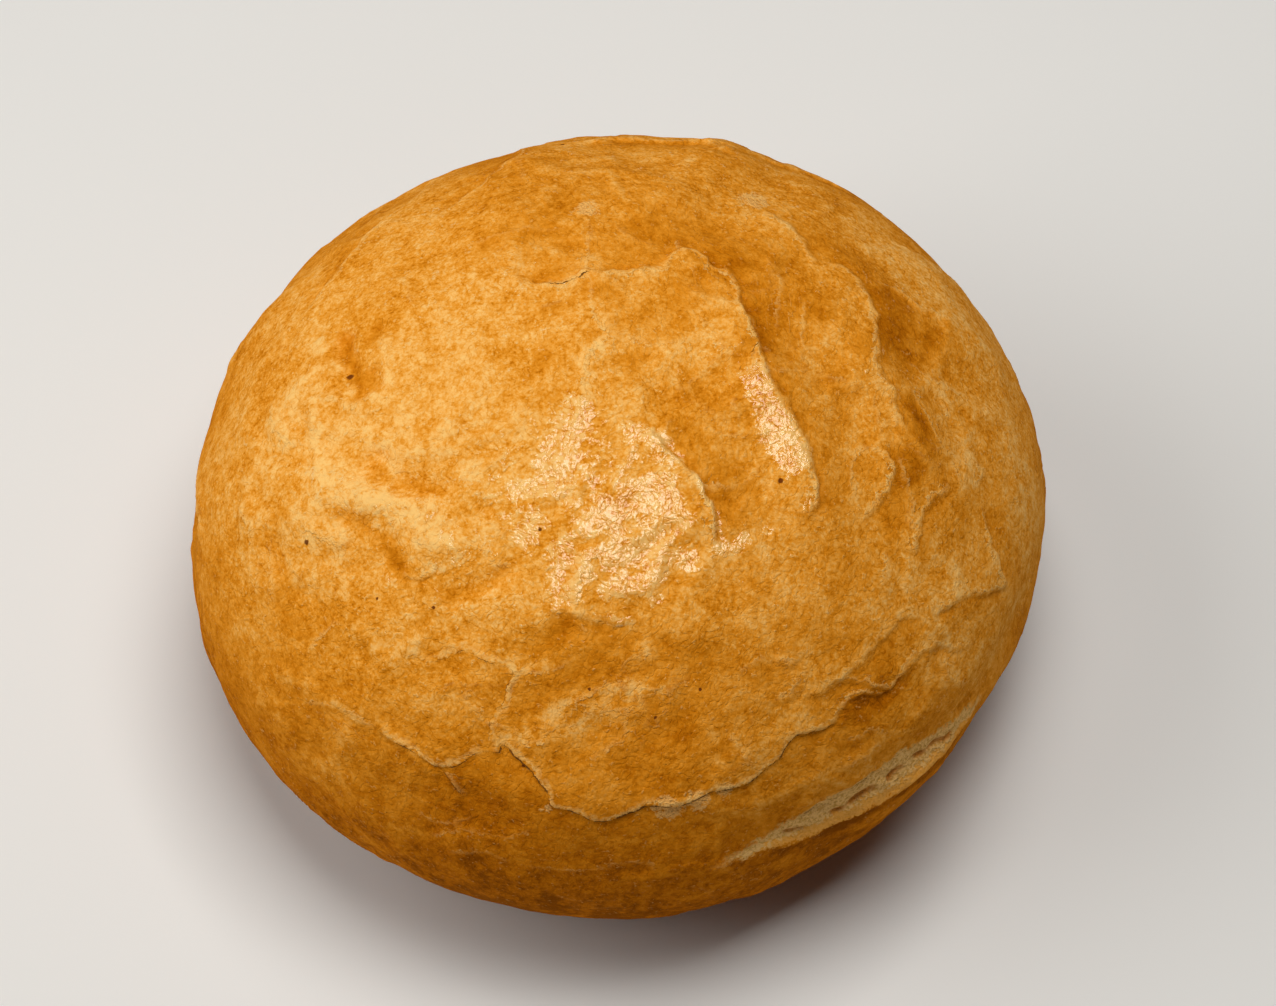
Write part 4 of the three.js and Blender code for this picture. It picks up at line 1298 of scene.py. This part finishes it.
def fold_and_crack_marks(web, skin):
    """Pale crests of folds, dark gaps of cracks, and the pale edges of the plates beside them."""
    from_crest = web.size(web.total(web.attribute("fold_down"), EDGE_BACK, skin.shaggy))
    crest = web.times(web.ramp(from_crest, 0.32, 0.05), web.attribute("fold_line"))
    crest = web.times(crest, web.ramp(skin.flake, -0.8, 0.4, 0.45, 1.25))
    crack_side = web.attribute("crack_side")
    from_crack = web.size(web.total(crack_side, (skin.ragged, 0.12)))
    width = web.times(web.attribute("crack_gap"), web.ramp(skin.flake, -0.7, 0.5, 0.15, 1.5))
    gap = web.ramp(web.math("DIVIDE", from_crack, web.most(width, 0.001)), 1.3, 0.4)
    from_edge = web.size(web.total(crack_side, -CRACK_EDGE, skin.shaggy))
    crack_pale = web.times(web.ramp(from_edge, 0.42, 0.1), web.attribute("crack_pale"))
    return crest, gap, crack_pale


def tear_marks(web, skin):
    """The torn crumb of the burst seam, and the light lip along its lower edge."""
    side = web.total(web.attribute("tear_side"), (skin.ragged, 0.7), (skin.flake, 0.3))
    half = web.attribute("tear_half")
    room = web.math("SUBTRACT", half, web.size(side))
    torn = web.times(web.ramp(room, -0.3, 0.5), web.ramp(half, 0.2, 0.7))
    from_lip = web.total(side, half)
    lip = web.times(web.ramp(from_lip, -0.2, 0.1), web.ramp(half, 0.3, 1.0))
    lip = web.times(lip, web.ramp(web.math("DIVIDE", from_lip, half), 0.66, 0.4))
    return torn, lip


def mole_mark(web, skin, core):
    aim = web.vector("NORMALIZE", web.vector("SUBTRACT", skin.place, tuple(value / MM for value in core)))
    mole = 0.0
    for bearing, rise, radius in MOLES:
        apart = web.vector("DISTANCE", aim, direction(bearing, rise))
        apart = web.total((apart, ROLL_REACH), (skin.ragged, 0.14))
        mole = web.most(mole, web.ramp(apart, radius, 0.5 * radius))
    return mole


def read_marks(web, skin, core):
    crest, gap, crack_pale = fold_and_crack_marks(web, skin)
    torn, lip = tear_marks(web, skin)
    mole = mole_mark(web, skin, core)
    scuff = web.ramp(web.total(web.attribute("scuff"), (skin.ragged, 0.9), (skin.flake, 0.25)), 0.35, 1.0)
    matte = web.most(torn, scuff, web.ramp(skin.level, *SOLE_HEIGHTS))
    dull = web.most(matte, gap, mole)
    return Marks(crest, gap, crack_pale, torn, lip, scuff, mole, matte, dull)


def skin_tone(web, skin, gloss_and_highlight, foot):
    """How dark the whole skin is, from 0 to 1, painted shade included, and how milky, with painted light on
    crests and painted highlights where glossy. Gloss_and_highlight is its gloss, foot is 1 low down.
    """
    bake_and_shade = web.total(
        BAKE_CROWN, (web.math("POWER", foot, 1.2), FOOT_BAKE_AND_SHADE), (web.attribute("toast_and_shade"), BAKE_AND_SHADE_SHARE)
    )
    moss = web.ramp(web.total(skin.mottle, (skin.flake, 0.5), (skin.ragged, 0.8)), -0.7, 0.8)
    moss = web.times(web.math("SUBTRACT", moss, 0.45), web.ramp(bake_and_shade, *LIGHT_TO_DARK, 0.25, 0.17))
    drift = web.ramp(web.noise(skin.place, DRIFT_SIZE, 2, 0.6), 0.34, 0.66, -0.08, 0.08, smooth=False)
    texture = web.total(skin.mottle, (skin.flake, 0.6), skin.grain)
    # pale haze on fold crests and plate creases, partly painted light
    haze_and_light = web.most(web.attribute("haze_and_light"), web.times(web.attribute("plate_crest"), 0.6))
    haze_and_light = web.times(haze_and_light, web.ramp(texture, 1.2, -1.2, 0.1, 1.4))
    pale = web.times(web.most(web.times(skin.vein, 0.3), haze_and_light), web.ramp(bake_and_shade, 0.25, 0.8, 1.0, 0.5))
    lined = web.total(gloss_and_highlight, web.ramp(bake_and_shade, *reversed(LIGHT_TO_DARK), 0.0, 0.4))
    lined = web.times(skin.lined, web.ramp(lined, 0.0, 1.0, 0.25, 1.0))
    tone = web.total(
        bake_and_shade,
        moss,
        drift,
        (skin.ragged, web.ramp(bake_and_shade, *LIGHT_TO_DARK, -0.46, -0.18)),
        # pale haze, partly painted light on crests, and gloss, painted paler as a highlight, lighten the
        # tone
        (pale, -0.26),
        (gloss_and_highlight, -0.2),
        # painted shade in the dimples
        (web.attribute("hollow"), 0.12),
        lined,
    )
    # the milky veil thickens under pale haze and gloss: partly painted light on crests and a painted
    # highlight
    milky_and_light = web.total(
        0.02, (skin.mottle, -0.06), (skin.ragged, 0.14), (pale, 0.2), (gloss_and_highlight, 0.24), (skin.lined, -0.5)
    )
    milky_and_light = web.math("MULTIPLY", milky_and_light, web.ramp(tone, 0.05, 0.42, 1.0, 0.0), clamp=True)
    return tone, milky_and_light


def crust_colour(web, skin, marks, gloss_and_highlight, colours):
    """The colour of the skin, with the marks on it."""
    # foot darkens the skin towards the underside: partly a browner underside, partly painted shade
    foot = web.ramp(skin.level, *BAKE_AND_SHADE_HEIGHTS, smooth=False)
    tone, milky_and_light = skin_tone(web, skin, gloss_and_highlight, foot)
    stops = [(0.0, colours.butter), (0.15, colours.cream), (0.36, colours.straw), (0.53, colours.gold),
             (0.68, colours.amber), (0.83, colours.rust), (1.0, colours.chestnut)]
    worn = web.times(web.most(marks.crest, marks.crack_pale), web.ramp(skin.grain, -1.0, 0.5, 0.3, 1.0))
    worn = web.times(worn, web.ramp(foot, 0.3, 0.85, 0.85, 0.15))
    crumb = web.mix(web.ramp(skin.grain, -1.0, 0.6), colours.deep_crumb, colours.crumb)
    crumb = web.mix(web.ramp(web.attribute("tear_pit"), 0.03, 0.36, 0.0, 0.8), crumb, colours.rust)
    colour = web.tones(web.ramp(tone, PALEST_TONE, 1.0, smooth=False), stops)
    for share, over in (
        (milky_and_light, colours.veil),
        (worn, colours.worn),
        (web.times(marks.scuff, 0.5), colours.veil),
        (marks.torn, crumb),
        (web.times(marks.lip, 0.75), colours.straw),
        (marks.gap, colours.cleft),
        (web.times(marks.mole, 0.9), colours.scorch),
    ):
        colour = web.mix(share, colour, over)
    return colour


def crust_material(colours, core):
    """Golden glossy skin that darkens in blotches and towards the underside, partly as painted shade, is
    painted paler under its gloss as a highlight, and has crumb in the seam.
    """
    material, web = new_material("golden_crust")
    skin = read_pattern(web)
    marks = read_marks(web, skin, core)
    gloss_and_highlight = web.total(
        web.attribute("sheen"),
        web.ramp(skin.level, *FILM_HEIGHTS, 0.0, 0.15),
        (skin.flake, 0.16),
        (skin.mottle, -0.08),
        (skin.ragged, 0.2),
    )
    gloss_and_highlight = web.times(web.ramp(gloss_and_highlight, 0.26, 0.56), web.math("SUBTRACT", 1.0, marks.dull))
    relief = web.total(
        (skin.height, web.ramp(skin.level, *BUMP_HEIGHTS, 0.55, 1.0)),
        (skin.vein, 0.03),
        (marks.crest, 0.06),
        (marks.gap, -0.08),
        (marks.matte, web.times(skin.grain, 0.05)),
    )
    bump = web.node("ShaderNodeBump")
    bump.inputs["Strength"].default_value = 1.0
    bump.inputs["Distance"].default_value = MM
    web.feed(bump.inputs["Height"], relief)
    shader = web.finish(
        colour=crust_colour(web, skin, marks, gloss_and_highlight, colours),
        roughness=web.blend(marks.matte, web.ramp(skin.grain, -1.0, 1.0, 0.5, 0.62, smooth=False), 0.9),
        Specular_IOR_Level=0.0,
        Coat_Roughness=0.13,
        Sheen_Weight=0.06,
        Sheen_Roughness=0.4,
        Sheen_Tint=(1.0, 0.62, 0.2, 1),
    )
    gloss = web.ramp(web.total(gloss_and_highlight, (skin.ragged, 0.25), (skin.lined, -1.8)), 0.0, 0.8)
    web.feed(shader.inputs["Coat Weight"], gloss)
    web.feed(shader.inputs["Normal"], bump.outputs["Normal"])
    web.feed(shader.inputs["Coat Normal"], bump.outputs["Normal"])
    return material


class BreadRollMakeCrust(bpy.types.Operator):
    """Raise the roll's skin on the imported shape, crease it and bake it"""

    bl_idname = "bread_roll.make_crust"
    bl_label = "Make the crust"

    def execute(self, context):
        settings = context.scene
        piece = raise_dough(settings.bread_roll_dough)
        crease_dough(piece, settings.bread_roll_dough, settings.bread_roll_relief)
        piece.data.materials.clear()
        material = crust_material(settings.bread_roll_colours, settings.bread_roll_dough.core)
        piece.data.materials.append(material)
        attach(piece, BODY)
        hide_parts(ROLL_NODE)
        return {"FINISHED"}


# ---------------------------------------------------------------------------------------------
# The stage
# ---------------------------------------------------------------------------------------------

FLOOR_SIDE = 4.0
FLOOR_GREYS = ((0.87, 0.87, 0.87, 1), (0.9, 0.9, 0.9, 1))
FLOOR_CLOUD_SIZE = 90.0  # mm
PANEL_RISE = math.radians(35)
LAMP_TARGET = Vector((0, 0, 30 * MM))
LAMP_COLOUR = (1.0, 0.975, 0.92)


def floor_material():
    material, web = new_material("pale_floor")
    cloudy = web.noise(web.millimetres(), FLOOR_CLOUD_SIZE, 2)
    web.finish(web.mix(cloudy, *FLOOR_GREYS), 0.9, Specular_IOR_Level=0.1)
    return material


def add_lamp(name, place, size, watts):
    """A square lamp at a place, facing the roll."""
    bpy.ops.object.light_add(type="AREA", location=place)
    lamp = bpy.context.object
    lamp.name = name
    lamp.data.size = size
    lamp.data.energy = watts
    lamp.data.color = LAMP_COLOUR
    lamp.rotation_euler = (LAMP_TARGET - lamp.location).to_track_quat("-Z", "Y").to_euler()
    return lamp


class BreadRollMakeStudio(bpy.types.Operator):
    """Set up the pale floor, the soft lamps and the camera"""

    bl_idname = "bread_roll.make_studio"
    bl_label = "Make the studio"

    def execute(self, context):
        studio = context.scene.bread_roll_studio
        bpy.ops.object.select_all(action="DESELECT")
        bpy.ops.mesh.primitive_plane_add(size=FLOOR_SIDE)
        floor = context.object
        floor.name = "floor"
        floor.data.materials.append(floor_material())

        overhead = (studio.lamp_right, studio.lamp_back, studio.lamp_height)
        add_lamp("soft_lamp", overhead, studio.lamp_size, studio.lamp_power)
        sideways = Vector((-math.cos(PANEL_RISE), 0, math.sin(PANEL_RISE))) * studio.panel_distance
        panel = add_lamp("soft_panel", sideways + LAMP_TARGET, studio.panel_size, studio.panel_power)
        panel.visible_glossy = False

        world = bpy.data.worlds.new("even_light")
        world.use_nodes = True
        background = world.node_tree.nodes["Background"]
        background.inputs["Color"].default_value = (1, 1, 1, 1)
        background.inputs["Strength"].default_value = studio.fill
        context.scene.world = world

        back = Vector((0, -math.cos(studio.elevation), math.sin(studio.elevation)))
        bpy.ops.object.camera_add(location=Vector(studio.aim) + back * studio.distance)
        camera = context.object
        camera.rotation_euler = (math.pi / 2 - studio.elevation, 0, 0)
        camera.data.lens = studio.lens
        camera.data.clip_start = 10 * MM
        context.scene.camera = camera
        context.scene.view_settings.view_transform = "Standard"
        return {"FINISHED"}


class BreadRollPanel(bpy.types.Panel):
    """Lists the roll's pieces and their settings"""

    bl_idname = "VIEW3D_PT_bread_roll"
    bl_label = "Bread Roll"
    bl_space_type = "VIEW_3D"
    bl_region_type = "UI"
    bl_category = "Bread Roll"

    def draw(self, context):
        scene = context.scene
        for operator, groups in PANEL_ROWS:
            box = self.layout.box()
            for group in groups:
                settings = getattr(scene, group)
                for name in settings.__annotations__:
                    box.prop(settings, name)
            box.operator(operator.bl_idname)


SETTINGS = {
    "bread_roll_dough": BreadRollDough,
    "bread_roll_relief": BreadRollRelief,
    "bread_roll_colours": BreadRollColours,
    "bread_roll_studio": BreadRollStudio,
}
PANEL_ROWS = [
    (BreadRollMakeCrust, ("bread_roll_dough", "bread_roll_relief", "bread_roll_colours")),
    (BreadRollMakeStudio, ("bread_roll_studio",)),
]
CLASSES = [*SETTINGS.values(), BreadRollMakeCrust, BreadRollMakeStudio, BreadRollPanel]


def register():
    for each in CLASSES:
        bpy.utils.register_class(each)
    for name, group in SETTINGS.items():
        setattr(bpy.types.Scene, name, PointerProperty(type=group))


def unregister():
    for name in SETTINGS:
        delattr(bpy.types.Scene, name)
    for each in reversed(CLASSES):
        bpy.utils.unregister_class(each)


def main():
    register()
    bpy.ops.bread_roll.make_crust()
    bpy.ops.bread_roll.make_studio()


if __name__ == "__main__":
    main()
